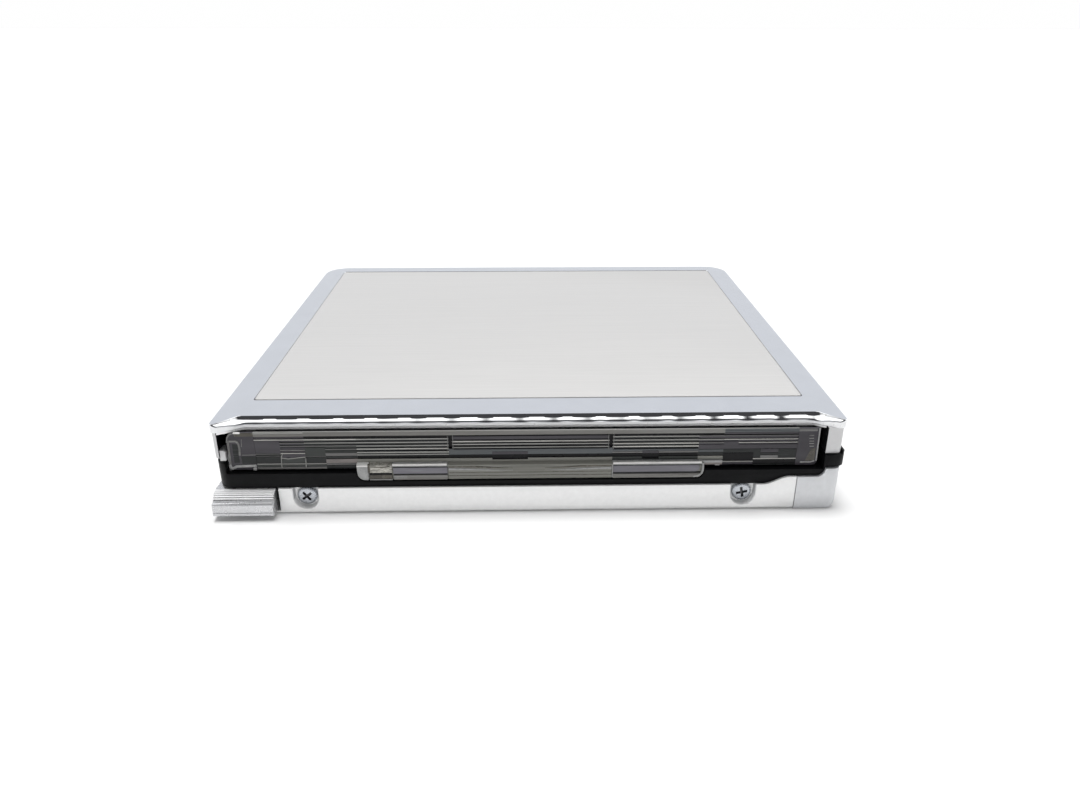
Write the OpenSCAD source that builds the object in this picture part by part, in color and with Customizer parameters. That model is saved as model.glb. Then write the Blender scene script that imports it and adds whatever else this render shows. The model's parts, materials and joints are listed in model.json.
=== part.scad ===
// Portable minidisc player: clamshell with a hinged lid over a pop-up disc holder.
// Millimetres, +Z up, front toward -Y, underside at z = 0.

/* [Body] */
// width of the lid cap
body_w = 78; // [78:0.1:79]
// depth of the lid cap, front to rear
body_d = 72.5; // [72.5:0.1:74]
// overall height
body_h = 12.2; // [12.2:0.05:12.6]
// height of the silver lower case
case_h = 3.55; // [3.4:0.05:3.7]
// wall of the lower case
case_t = 0.7; // [0.6:0.05:0.8]
// floor of the lower case
floor_t = 0.6; // [0.5:0.05:0.65]
// rounding along the lower side edges
edge_r = 1.7; // [1.2:0.05:1.75]

/* [Lid] */
// thickness of the lid cap at its edge
lid_t = 1.15; // [1.05:0.05:1.2]
// thickness of the brushed panel
panel_t = 0.42; // [0.3:0.02:0.5]
// depth of the scoop along the front lip
lip_d = 2.85; // [2.75:0.05:2.95]
// thickness of the lid side rails
rail_t = 1.15; // [1.05:0.05:1.15]

/* [Disc bay] */
// width of the disc cartridge
disc_w = 72; // [72:0.1:72.2]
// thickness of the disc cartridge
disc_t = 5; // [5:0.01:5.04]
// sheet thickness of the holder
sheet_t = 0.25; // [0.2:0.01:0.25]

/* [Hinge] */
// hinge axis, from the front
hinge_y = 69.3; // [69.2:0.05:69.4]
// hinge axis height
hinge_z = 8.7; // [8.6:0.05:8.75]
// hinge pin radius
pin_r = 0.6; // [0.5:0.02:0.6]

/* [Mechanism] */
// lens distance from the spindle at the inner end of travel
lens_x = 15; // [15:0.5:17]
// lead screw radius
screw_r = 0.95; // [0.85:0.05:0.95]
// spindle shaft radius
spindle_r = 0.75; // [0.6:0.05:0.75]

/* [Controls] */
// headphone plug hole radius
jack_r = 1.8; // [1.75:0.01:1.85]
// radius of the thumb slider nose
nose_r = 1.85; // [1.6:0.05:1.9]
// depth of the slider ribs
rib_d = 0.16; // [0.08:0.01:0.2]
// radius of the front screw heads
head_r = 1.25; // [1.1:0.05:1.3]

/* [Hidden] */
$fn = 48;
e = 0.01;
half_w = body_w / 2;
lid_z = body_h - lid_t;
case_x = half_w + 0.1;
case_in = half_w - 1.1;
case_y1 = body_d - 0.2;
rail_x1 = half_w - 0.05;
rail_x0 = rail_x1 - rail_t;
bay_x = disc_w / 2 + 0.3;
bay_z0 = lid_z - 0.5 - disc_t - 0.05;
hub_y = 36.4;
screw_y = 53.4;
shaft_y0 = 24.4;
shaft_y1 = 48.4;
shaft_z = 3;
front_screw_x = [-28.2, 26.9];
front_screw_z = 2.15;
deck_pts = [[-30.5, 24.6], [-30.5, 51.5], [-14, 66.3], [29.5, 60.5]];
foot_pts = [[-31.3, 16.2], [-34.3, 66.8], [34.3, 66.8]];
key_ys = [29, 36, 43];
hold_y = 50;
key_z = 2.05;
jack_y = 59;
jack_z = 2.95;
door_pin = [37.8, 22.2];
steel = [0.72, 0.73, 0.75];
silver = [0.82, 0.83, 0.84];
black = [0.1, 0.1, 0.11];

function fy(v) = v - body_d / 2;
function arc(cx, cy, r, a0, a1, n) = [for (i = [0 : n]) let (a = a0 + (a1 - a0) * i / n) [cx + r * cos(a), cy + r * sin(a)]];
// corner order: low-left, low-right, high-right, high-left
function rr_pts(x0, x1, y0, y1, r) = concat(
  r[0] > 0 ? arc(x0 + r[0], y0 + r[0], r[0], 180, 270, 8) : [[x0, y0]],
  r[1] > 0 ? arc(x1 - r[1], y0 + r[1], r[1], 270, 360, 8) : [[x1, y0]],
  r[2] > 0 ? arc(x1 - r[2], y1 - r[2], r[2], 0, 90, 8) : [[x1, y1]],
  r[3] > 0 ? arc(x0 + r[3], y1 - r[3], r[3], 90, 180, 8) : [[x0, y1]]);
module rr(x0, x1, y0, y1, r) { polygon(rr_pts(x0, x1, y0, y1, r)); }
module box(x0, x1, y0, y1, z0, z1) { translate([x0, fy(y0), z0]) cube([x1 - x0, y1 - y0, z1 - z0]); }
module slab(x0, x1, y0, y1, r, z0, z1) { translate([0, 0, z0]) linear_extrude(z1 - z0) rr(x0, x1, fy(y0), fy(y1), r); }
module cz(x, y, r, z0, z1) { translate([x, fy(y), z0]) cylinder(r = r, h = z1 - z0); }
module cx(y, z, r, x0, x1) { translate([x0, fy(y), z]) rotate([0, 90, 0]) cylinder(r = r, h = x1 - x0); }
module cy(x, z, r, y0, y1) { translate([x, fy(y1), z]) rotate([90, 0, 0]) cylinder(r = r, h = y1 - y0); }
// profile in x,z carried from y0 to y1
module ext_y(y0, y1) { translate([0, fy(y1), 0]) rotate([90, 0, 0]) linear_extrude(y1 - y0) children(); }
// profile in y,z carried from x0 to x1
module ext_x(x0, x1) { translate([x0, 0, 0]) rotate([90, 0, 90]) linear_extrude(x1 - x0) children(); }

// ---- lid ----
// scoop along the front lip; it runs out at a slant toward both corner prongs
module lip_cut() {
  intersection() {
    ext_x(-45, 45) polygon([[fy(lip_d), body_h], [fy(lip_d - 0.24), body_h - 0.38], [fy(lip_d - 0.73), body_h - 0.63],
      [fy(lip_d - 0.88), body_h - 0.87], [fy(lip_d - 0.88), lid_z - 1], [fy(-3), lid_z - 1], [fy(-3), body_h + 1], [fy(lip_d), body_h + 1]]);
    translate([0, 0, lid_z - 2]) linear_extrude(6) polygon([[-half_w + 0.1, fy(-2)], [half_w - 0.1, fy(-2)], [half_w - 0.1, fy(0.05)],
      [35.4, fy(lip_d + 0.2)], [-35.4, fy(lip_d + 0.2)], [-half_w + 0.1, fy(0.05)]]);
  }
}
module lid_frame() {
  color([0.78, 0.8, 0.83]) difference() {
    slab(-half_w, half_w, 0, body_d, [0.5, 0.5, 4, 4], lid_z, body_h);
    slab(-35.7, 35.7, 7.6, 69.5, [0.5, 0.5, 0.5, 0.5], body_h - panel_t, body_h + 1);
    lip_cut();
  }
}
module lid_panel() {
  color([0.86, 0.86, 0.85]) slab(-35.6, 35.6, 7.7, 69.4, [0.4, 0.4, 0.4, 0.4], body_h - panel_t, body_h - 0.02);
}
module rail_side() {
  ext_x(rail_x0, rail_x1) polygon(concat([[fy(0.4), lid_z], [fy(0.4), hinge_z - 1.2]],
    arc(fy(hinge_y), hinge_z, 1.2, 270, 360, 10), [[fy(hinge_y + 1.2), lid_z]]));
}
module rail_bore() { cx(hinge_y, hinge_z, pin_r + 0.05, rail_x0 - 1, rail_x1 + 1); }
module rail_plan() { slab(-rail_x1, rail_x1, 0.35, body_d - 0.3, [0.5, 0.5, 3.7, 3.7], 0, lid_z + 1); }
module lid_rail_right() {
  color(silver) difference() {
    intersection() {
      union() {
        rail_side();
        box(36.9, rail_x0 + e, 0.4, 2.2, 7.55, lid_z);
      }
      rail_plan();
    }
    rail_bore();
  }
}
module lid_rail_left() {
  color(silver) difference() {
    intersection() { mirror([1, 0, 0]) rail_side(); rail_plan(); }
    mirror([1, 0, 0]) rail_bore();
    box(-38.35, -37, -1, 6, 7, lid_z + 1);
  }
}
module lid_rear_skirt() {
  color(silver) box(-34.6, 34.6, 71.8, 72.4, 9.15, lid_z);
}
module lid_window() {
  color([0.25, 0.26, 0.28, 0.7]) union() {
    difference() {
      ext_y(0.7, 2.2) rr(-37.4, 36.1, 5.68, lid_z - 0.15, [0.5, 0.5, 0, 1.1]);
      box(-37, 45, 0.95, 3, lid_z - 0.45, lid_z + 1);
    }
    ext_y(0.12, 1.25) rr(-21.4, 21.6, 4.45, 6.5, [1, 1, 0.2, 0.2]);
  }
}
// silver bar under the lip, with the leg that backs the window
module window_retainer() {
  color(silver) union() {
    translate([0, 0, lid_z - 0.35]) linear_extrude(0.24) polygon([[-38.3, fy(0.4)], [-35.2, fy(2)], [35.2, fy(2)], [36.85, fy(1.1)],
      [36.85, fy(1.6)], [35.4, fy(2.85)], [-35.4, fy(2.85)], [-38.3, fy(0.9)]]);
    box(-36, 35.8, 2.2, 2.85, lid_z - 0.6, lid_z);
  }
}
module lid_hook() {
  color(steel) union() {
    ext_y(0.5, 2.2) rr(-38.35, -37.62, 7.08, 8.55, [0.1, 0.15, 0.3, 0]);
    box(-rail_x0 + 0.08, -rail_x0 + 0.4, 1.2, 2, 4.3, 7.6);
  }
}

// ---- disc holder ----
module holder_plate() {
  z0 = bay_z0 + disc_t + 0.06;
  color(steel) difference() {
    slab(-bay_x - sheet_t, bay_x + sheet_t, 3.1, 69.9, [1, 1, 1, 1], z0, z0 + sheet_t);
    slab(-13, 13, 3, 9.5, [3, 3, 3, 3], z0 - 1, z0 + 1);
    slab(-24, 24, 22, 50, [4, 4, 4, 4], z0 - 1, z0 + 1);
    for (s = [-1, 1]) difference() {
      slab(s * 29.5 - 3.5, s * 29.5 + 3.5, 24, 48, [1, 1, 1, 1], z0 - 1, z0 + 1);
      slab(s * 29.5 - 2.5, s * 29.5 + 2.5, 20, 46, [1, 1, 1, 1], z0 - 1, z0 + 1);
    }
  }
}
module channel() {
  z1 = bay_z0 + disc_t + 0.06;
  difference() {
    union() {
      box(bay_x, bay_x + sheet_t, 3.1, 69.9, bay_z0 - sheet_t, z1);
      slab(bay_x - 2.4, bay_x + e, 4.2, 64, [0.8, 0, 0, 0.8], bay_z0 - sheet_t, bay_z0);
    }
    cx(hinge_y, hinge_z, pin_r + 0.05, bay_x - 1, bay_x + 1);
    box(bay_x - 1, bay_x + 1, 69, 75, bay_z0 - 1, hinge_z - 1.6);
  }
}
module holder_channel_right() { color(steel) channel(); }
module holder_channel_left() { color(steel) mirror([1, 0, 0]) channel(); }

// ---- lower body ----
// upper edge of the silver case along the front, with the rise toward the door
function edge_pts() = concat([for (i = [0 : 10]) let (t = i / 10) [29.4 + 3.2 * t, case_h + 1.05 * (3 * t * t - 2 * t * t * t)]]);
// rounding along both lower side edges
module side_round() { ext_y(-5, 80) rr(-case_x, case_x, 0, 12, [edge_r, edge_r, 0, 0]); }
module case_body() {
  difference() {
    intersection() {
      slab(-case_x, case_x, 0, case_y1, [2, 1.2, 3.6, 3.6], 0, case_h);
      side_round();
    }
    intersection() {
      slab(-case_in, case_in, case_t, case_y1 - case_t, [1.4, 1.4, 2.9, 2.9], floor_t, case_h + 1);
      ext_y(-1, 80) rr(-case_in, case_in, floor_t, 12, [1.1, 1.1, 0, 0]);
    }
  }
  ext_y(0, case_t) polygon(concat([[29.4, case_h - 0.5]], edge_pts(), [[33.5, case_h + 1.05], [33.5, case_h - 0.5]]));
  for (x = front_screw_x) box(x - 2.1, x + 2.1, case_t - e, 1.75, floor_t - e, case_h);
  for (p = deck_pts) cz(p[0], p[1], 1.6, floor_t - e, 3.55);
  box(-36.8, -33, 13, 13.7, floor_t - e, 3.3);
}
module bottom_case() {
  color(silver) difference() {
    case_body();
    box(33.5, 45, -5, case_t + 0.1, -1, 9);
    box(case_x - case_t - 0.05, 45, -5, door_pin[1] + 1.7, -1, 9);
    box(-45, -31.5, -5, case_t + 0.1, 0.42, 9);
    box(-45, -case_in + 0.05, -5, 7.2, 0.42, 9);
    box(-case_x - 1, -31.5, -1, 12.4, 0.42, 0.9);
    box(-45, -36.2, -5, 2.6, 0.42, 9);
    box(36, 45, -5, door_pin[1] + 1.7, floor_t, 9);
    box(-37.9, -36, 24, 62.6, floor_t, 2.4);
    box(-37.9, -36, 1.5, 7.4, floor_t, 2.4);
    for (x = front_screw_x) {
      cy(x, front_screw_z, 1.55, -1, 1.1);
      box(x - 1.55, x + 1.55, -1, 1.1, front_screw_z, case_h + 1);
      cy(x, front_screw_z, 0.62, 0, 3);
    }
    for (y = key_ys) ext_x(-45, -case_in + 0.05) rr(fy(y) - 2.35, fy(y) + 2.35, key_z - 0.8, key_z + 0.8, [0.79, 0.79, 0.79, 0.79]);
    ext_x(-45, -case_in + 0.05) rr(fy(hold_y) - 2.9, fy(hold_y) + 2.9, key_z - 0.65, key_z + 0.65, [0.64, 0.64, 0.64, 0.64]);
    cx(jack_y, jack_z, 2.62, -45, -37.3);
    for (p = foot_pts) {
      cz(p[0], p[1], 0.55, -1, 1);
      cz(p[0], p[1], 1.15, -1, 0.35);
    }
    for (p = deck_pts) cz(p[0], p[1], 0.5, 1.2, 5);
    for (x = [14, 19]) slab(x - 1.6, x + 1.6, 64, 66.6, [0.4, 0.4, 0.4, 0.4], -1, 0.3);
  }
}
module frame_wall() {
  // right wall with its rim, left wall, rear wall
  difference() {
    slab(-case_x, case_x, 0, case_y1, [2, 1.2, 3.6, 3.6], case_h, 7.4);
    box(-bay_x - 0.55, bay_x + 0.55, 2.3, 70.95, case_h - 1, 8);
    box(-37.75, bay_x + 0.55, -1, 2.4, 5.5, 8);
    box(-45, -37.7, -1, 2.8, 6.85, 8);
  }
  slab(case_in - 0.5, half_w + 0.6, 0.08, 66, [0, 1.3, 1.1, 0.5], 5.82, 7.4);
  intersection() {
    slab(case_in - 0.5, half_w + 0.6, 0.08, 66, [0, 1.3, 1.1, 0.5], 5.82, 8);
    ext_y(0, 70) rr(half_w + 0.12, half_w + 0.6, 5.82, 7.75, [0, 0.2, 0.2, 0.1]);
  }
  box(-36.4, 36.4, 70.95, 71.45, 7.3, 9.8);
  for (s = [-1, 1]) ext_x(s > 0 ? bay_x + 0.55 : -bay_x - 1.35, s > 0 ? bay_x + 1.35 : -bay_x - 0.55)
    polygon(concat([[fy(67.6), 7.3]], [[fy(hinge_y + 1.65), 7.3]], arc(fy(hinge_y), hinge_z, 1.65, 0, 180, 12), [[fy(67.6), 7.3]]));
  // roof and back wall of the cell compartment
  box(-29.4, bay_x + 0.6, 2.2, 21.2, 4.95, 5.2);
  box(-33.2, -29.3, 13.6, 18.8, 4.95, 5.2);
  box(-29.4, 36.4, 20.75, 21.2, 0.7, 5);
  box(-29.4, -29, 4.2, 21.2, 0.7, 5);
  for (x = front_screw_x) box(x - 1.9, x + 1.9, 1.8, 4.05, 0.7, 5);
  for (p = foot_pts) cz(p[0], p[1], 1.5, 0.7, 5);
  for (s = [-1, 1]) box(s > 0 ? 34.3 : -37.2, s > 0 ? 37.2 : -34.3, 65.8, 71.2, case_h, 4.4);
}
module mid_frame() {
  color(black) difference() {
    frame_wall();
    ext_y(-1, 1.4) rr(-21.7, 21.9, 4.3, 9, [1.1, 1.1, 0, 0]);
    ext_y(-1, case_t + 0.08) polygon(concat([[29.4, case_h - 1]], edge_pts(), [[40, case_h + 1.05], [40, case_h - 1]]));
    ext_y(-1, case_t + 0.18) polygon(concat([[33.4, case_h - 1], [33.4, 4.68]], arc(36, 5.7, 1.02, 270, 360, 6), [[37.05, 5.8], [45, 5.8], [45, case_h - 1]]));
    box(case_x - case_t - 0.15, 45, -1, door_pin[1] + 1.7, case_h - 1, 5.8);
    box(36.75, 45, door_pin[1] - 2.4, door_pin[1] + 1.7, case_h - 1, 5.8);
    box(-37.95, -37.15, 1, 5.6, case_h - 1, 7.5);
    for (s = [-1, 1]) cx(hinge_y, hinge_z, pin_r, s > 0 ? 30 : -45, s > 0 ? 45 : -30);
    for (x = front_screw_x) cy(x, front_screw_z, 0.6, 1, 5);
    for (p = foot_pts) cz(p[0], p[1], 0.5, 0, 3.2);
    cx(jack_y, jack_z, 2.62, -45, -30);
    box(-37.65, -30, jack_y - 2.7, jack_y + 2.7, case_h - 1, 5.2);
  }
}
module hinge_pins() {
  color(steel) for (s = [-1, 1]) cx(hinge_y, hinge_z, pin_r, s > 0 ? bay_x + 0.1 : -38.7, s > 0 ? 38.7 : -bay_x - 0.1);
}
module mechanism_deck() {
  color(steel) difference() {
    slab(-36.2, 36.2, 21.6, 69.2, [2, 2, 2, 2], 4.45, 4.85);
    cz(0, hub_y, 9.7, 4, 6);
    slab(lens_x - 5.6, 35, hub_y - 6.6, hub_y + 6.6, [1, 1, 1, 1], 4, 6);
    box(-40, -24.6, jack_y - 3.2, jack_y + 3.2, 4, 6);
    for (p = deck_pts) cz(p[0], p[1], 0.62, 4, 6);
    for (p = foot_pts) cz(p[0], p[1], 1.9, 4, 6);
    slab(-28, -16, 30, 42, [1.5, 1.5, 1.5, 1.5], 4, 6);
    slab(-5.7, 6.5, screw_y - 2.9, screw_y + 2.9, [1, 1, 1, 1], 4, 6);
    for (s = [-1, 1]) box(s > 0 ? 34 : -40, s > 0 ? 40 : -34, 65, 72, 4, 6);
  }
}
module deck_dampers() {
  color(black) for (p = deck_pts) difference() { cz(p[0], p[1], 1.9, 3.55, 4.45); cz(p[0], p[1], 0.55, 3, 5); }
}
module deck_screws() {
  color(steel) for (p = deck_pts) difference() {
    union() { cz(p[0], p[1], 0.5, 1.6, 4.9); cz(p[0], p[1], 1.15, 4.85, 5.2); }
    box(p[0] - 0.7, p[0] + 0.7, p[1] - 0.13, p[1] + 0.13, 5.05, 6);
    box(p[0] - 0.13, p[0] + 0.13, p[1] - 0.7, p[1] + 0.7, 5.05, 6);
  }
}
module lift_spring() {
  color(steel) union() {
    slab(-26, -21, 62.5, 67.5, [0.8, 0.8, 0.8, 0.8], 4.85, 5.02);
    slab(-25, -22, 45, 63, [1.4, 1.4, 0, 0], 4.85, 5.02);
  }
}
module cross_cut(x, y0, y1, z) {
  box(x - 0.75, x + 0.75, y0, y1, z - 0.15, z + 0.15);
  box(x - 0.15, x + 0.15, y0, y1, z - 0.75, z + 0.75);
}
module front_screws() {
  color(steel) for (x = front_screw_x) difference() {
    union() { cy(x, front_screw_z, head_r, 0.5, 1.1); cy(x, front_screw_z, 0.6, 1, 4); }
    cross_cut(x, 0, 0.9, front_screw_z);
  }
}
module bottom_screws() {
  color(steel) for (p = foot_pts) difference() {
    union() { cz(p[0], p[1], 1.1, 0.05, 0.35); cz(p[0], p[1], 0.5, 0.3, 3); }
    box(p[0] - 0.7, p[0] + 0.7, p[1] - 0.13, p[1] + 0.13, -1, 0.22);
    box(p[0] - 0.13, p[0] + 0.13, p[1] - 0.7, p[1] + 0.7, -1, 0.22);
  }
}

// ---- disc drive ----
module spindle_stator() {
  color([0.3, 0.32, 0.3]) difference() {
    union() {
      cz(0, hub_y, 9.4, floor_t, 1.2);
      cz(0, hub_y, 1.7, 1.1, 2.9);
      for (a = [0 : 40 : 320]) translate([0, fy(hub_y), 0]) rotate(a) translate([5.2, 0, 1.15]) cylinder(r = 1.25, h = 1.15, $fn = 24);
    }
    cz(0, hub_y, spindle_r + 0.03, 0.8, 4);
  }
}
module spindle_rotor() {
  color(steel) union() {
    difference() {
      cz(0, hub_y, 9, 1.5, 4.3);
      cz(0, hub_y, 8.3, 1, 3.5);
    }
    cz(0, hub_y, spindle_r, 0.9, 4.6);
  }
}
module turntable() {
  color([0.85, 0.86, 0.87]) difference() {
    union() { cz(0, hub_y, 6, 4.6, 5.1); cz(0, hub_y, 2.1, 5, bay_z0 - 0.1); }
    difference() { cz(0, hub_y, 5.4, 4.85, 6); cz(0, hub_y, 3.2, 4, 7); }
  }
}
module chucking_magnet() {
  color([0.25, 0.24, 0.23]) difference() { cz(0, hub_y, 5.4, 4.85, 5.08); cz(0, hub_y, 3.2, 4, 6); }
}
module pickup_sled() {
  color([0.55, 0.56, 0.58]) difference() {
    union() {
      box(lens_x - 4.6, lens_x + 6.6, hub_y - 10, hub_y + 10, 1.1, 4.1);
      box(lens_x - 4.6, lens_x + 6.6, shaft_y1 - 2.1, shaft_y1 + 1.7, 1.4, 4.1);
      box(lens_x - 1, lens_x + 3.4, shaft_y0 - 1.5, hub_y - 9.9, 1.9, 4.1);
      box(lens_x - 1, lens_x + 3.2, shaft_y1 + 1.6, screw_y - screw_r - 0.12, 2.2, 3.8);
    }
    cx(shaft_y1, shaft_z, 0.79, lens_x - 10, lens_x + 10);
    cx(shaft_y0, shaft_z, 0.85, lens_x - 10, lens_x + 10);
    box(lens_x - 10, lens_x + 10, shaft_y0 - 3, shaft_y0, shaft_z - 0.85, shaft_z + 0.85);
    cz(lens_x, hub_y, 1.2, 0, 6);
  }
}
module lens_actuator() {
  color([0.12, 0.12, 0.13]) difference() {
    slab(lens_x - 4.2, lens_x + 4.2, hub_y - 5.4, hub_y + 5.4, [0.8, 0.8, 0.8, 0.8], 4.1, 4.85);
    cz(lens_x, hub_y, 1.9, 4.35, 6);
    cz(lens_x, hub_y, 1.2, 3, 6);
  }
}
module objective_lens() {
  color([0.55, 0.62, 0.75]) union() { cz(lens_x, hub_y, 1.9, 4.35, 4.75); cz(lens_x, hub_y, 1.5, 4.7, 5); }
}
module guide_shafts() {
  color(steel) { cx(shaft_y0, shaft_z, 0.75, 8.2, 36.7); cx(shaft_y1, shaft_z, 0.75, 8.2, 36.7); }
}
module screw_prof() {
  n = 24;
  polygon(concat([[0, -1.5], [0.45, -1.5], [0.45, 0], [screw_r - 0.25, 0]],
    [for (i = [0 : 4 * n - 1]) let (k = i % 4, j = floor(i / 4)) [k == 0 || k == 3 ? screw_r - 0.25 : screw_r, 0.2 + (j + [0.15, 0.35, 0.65, 0.85][k]) * 1.15]],
    [[screw_r - 0.25, 28.2], [0.45, 28.2], [0.45, 29.4], [0, 29.4]]));
}
module lead_screw() {
  color(steel) translate([6.9, fy(screw_y), 2.85]) rotate([0, 90, 0]) rotate_extrude() screw_prof();
}
module sled_motor() {
  color([0.6, 0.6, 0.6]) difference() {
    union() { cx(screw_y, 2.85, 1.9, -5, 5.8); cx(screw_y, 2.85, 1.2, 5.7, 6.7); box(5.3, 5.8, screw_y - 2.6, screw_y + 2.6, 0.95, 4.2); }
    cx(screw_y, 2.85, 0.5, 5, 8);
  }
}
module screw_bearing() {
  color(black) difference() {
    box(35.5, 36.75, screw_y - 1.4, screw_y + 1.4, floor_t, 4.1);
    cx(screw_y, 2.85, 0.49, 34, 36.4);
  }
}

// ---- electrics ----
module main_board() {
  color([0.1, 0.32, 0.2]) difference() {
    union() { box(-34.9, 7.4, 22.2, 69.2, 1.25, 1.85); box(7.3, 33, 57, 69.2, 1.25, 1.85); }
    cz(0, hub_y, 10, 0, 4);
    box(-6, 9, screw_y - 3, screw_y + 3, 0, 4);
    for (p = deck_pts) cz(p[0], p[1], 2.2, 0, 4);
    for (p = foot_pts) cz(p[0], p[1], 2.1, 0, 4);
    box(-40, -24.8, jack_y - 3, jack_y + 3, 0, 4);
    box(7.2, 40, 50, 57, 0, 4);
  }
}
module board_chips() {
  color([0.08, 0.08, 0.09]) {
    box(-26, -16, 38, 48, 1.85, 2.75);
    box(-24, -17, 25, 32, 1.85, 2.65);
    box(-20, -12, 56, 62, 1.85, 2.65);
    box(-8, -2, 60, 66, 1.85, 2.65);
    box(3, 7, 59, 66, 1.85, 2.95);
    box(14, 20, 59.5, 64, 1.85, 2.65);
    box(-13, -11, 24, 25, 1.85, 2.35);
    box(-13, -11, 26.4, 27.4, 1.85, 2.35);
  }
}
module headphone_jack() {
  color(black) difference() {
    union() {
      box(-37.5, -25.2, jack_y - 2.6, jack_y + 2.6, 0.75, 5.1);
      cx(jack_y, jack_z, 2.5, -case_x, -37.4);
    }
    cx(jack_y, jack_z, jack_r, -40, -26.6);
  }
}
module battery_cell() {
  color([0.2, 0.32, 0.5]) union() {
    box(-26, 35.6, 4.5, 20.3, 0.75, 4.85);
    box(35.5, 36.1, 10, 15, 1.6, 4);
  }
}
module battery_contacts() {
  color([0.85, 0.7, 0.35]) for (y = [8.5, 16.5]) union() {
    box(-28.8, -28.6, y - 1.6, y + 1.6, 1, 4.4);
    box(-28.65, -26.05, y - 0.8, y + 0.8, 2.6, 2.8);
    box(-26.2, -26.05, y - 0.8, y + 0.8, 1.8, 3.6);
  }
}
module battery_door() {
  color([0.78, 0.8, 0.83]) difference() {
    union() {
      intersection() {
        union() {
          ext_y(0, case_t) polygon(concat([[33.6, 0.05], [33.6, 4.55]], arc(36, 5.57, 1.02, 270, 360, 6), [[37.05, 5.67], [case_x, 5.67], [case_x, 0.05]]));
          box(case_x - case_t, case_x, 0, door_pin[1] - 0.8, 0.05, 5.67);
        }
        slab(30, case_x, 0, 60, [0, 1.2, 0, 0], 0, 6);
        side_round();
      }
      box(door_pin[0] - 0.2, case_x - 0.2, door_pin[1] - 1.8, door_pin[1], 0.75, 4.8);
      cz(door_pin[0], door_pin[1], 1, 0.75, 4.8);
    }
    cz(door_pin[0], door_pin[1], 0.5, 0, 6);
  }
}
module battery_door_pin() { color(steel) cz(door_pin[0], door_pin[1], 0.45, floor_t, 5.8); }
module door_contact() {
  color([0.85, 0.7, 0.35]) union() {
    box(case_x - case_t - 0.15, case_x - case_t, 7, 18, 1.4, 4.2);
    box(36.75, case_x - case_t - 0.1, 11, 14, 2.2, 3.4);
  }
}

// ---- controls ----
module open_slider() {
  n = 7;
  color([0.85, 0.86, 0.88]) union() {
    ext_x(-half_w - 0.5, -31.95) polygon(concat(
      [[fy(case_t - 0.1), 3.35], [fy(0), 1.5 + nose_r]],
      [for (i = [1 : 4 * n]) let (a = 90 + 84 * i / (4 * n), r = nose_r - (i % 4 == 2 ? rib_d : 0)) [fy(0) + r * cos(a), 1.5 + r * sin(a)]],
      [[fy(-nose_r), 1.3], [fy(-nose_r), 0.85], [fy(-nose_r - 0.1), 0.8], [fy(-nose_r - 0.1), 0.55], [fy(-nose_r + 0.3), 0.5], [fy(case_t - 0.1), 0.5]]));
    box(-half_w - 0.5, -37.4, 0.5, 4.6, 0.5, 3.35);
    box(-37.5, -32.1, 0.5, 8.8, 0.98, 3.35);
    box(-37.65, -37.25, 2.45, 3.2, 3.3, 4.5);
  }
}
module slider_spring() {
  turns = 5; per = 14; k = 6; w = 0.16; rc = 0.95; y0 = 8.85 + w; y1 = 12.95 - w;
  m = turns * per;
  pts = [for (i = [0 : m]) let (a = 360 * i / per, yy = y0 + (y1 - y0) * i / m)
    for (j = [0 : k - 1]) let (b = 360 * j / k, r = rc + w * cos(b)) [-35 + r * cos(a), fy(yy) + w * sin(b), 2.1 + r * sin(a)]];
  faces = concat([[for (j = [0 : k - 1]) j]], [[for (j = [k - 1 : -1 : 0]) m * k + j]],
    [for (i = [0 : m - 1]) for (j = [0 : k - 1]) [i * k + j, (i + 1) * k + j, (i + 1) * k + (j + 1) % k, i * k + (j + 1) % k]]);
  color(steel) polyhedron(pts, faces, convexity = 10);
}
module key(y) {
  color(silver) union() {
    ext_x(-case_x - 0.4, -37.6) rr(fy(y) - 2.2, fy(y) + 2.2, key_z - 0.65, key_z + 0.65, [0.64, 0.64, 0.64, 0.64]);
    ext_x(-37.75, -37.35) rr(fy(y) - 2.8, fy(y) + 2.8, key_z - 1.15, key_z + 1.15, [0.4, 0.4, 0.4, 0.4]);
    cx(y, key_z, 0.6, -37.4, -37);
  }
}
module key_back() { key(key_ys[0]); }
module key_play() { key(key_ys[1]); }
module key_next() { key(key_ys[2]); }
module key_domes() {
  color([0.7, 0.7, 0.72]) for (y = key_ys) translate([-36.2, fy(y), key_z]) rotate([0, -90, 0])
    rotate_extrude() polygon(concat([[0, 0], [1.1, 0], [1.1, 0.06]], [for (i = [1 : 6]) [1.1 - 1.1 * i / 6, 0.06 + 0.3 * sin(90 * i / 6)]]));
}
module key_board() { color([0.1, 0.32, 0.2]) box(-36.2, -35.7, 25.8, 53.2, 0.65, 3.4); }
module hold_switch() {
  color(black) union() {
    ext_x(-case_x - 0.35, -37.6) rr(fy(hold_y) - 1.6, fy(hold_y) + 0, key_z - 0.5, key_z + 0.5, [0.49, 0.49, 0.49, 0.49]);
    ext_x(-37.75, -36.9) rr(fy(hold_y) - 1.6, fy(hold_y) + 0, key_z - 0.5, key_z + 0.5, [0.2, 0.2, 0.2, 0.2]);
  }
}
module charge_contacts() {
  color([0.85, 0.7, 0.35]) for (x = [14, 19]) slab(x - 1.5, x + 1.5, 64.1, 66.5, [0.3, 0.3, 0.3, 0.3], 0.06, 0.3);
}

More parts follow.
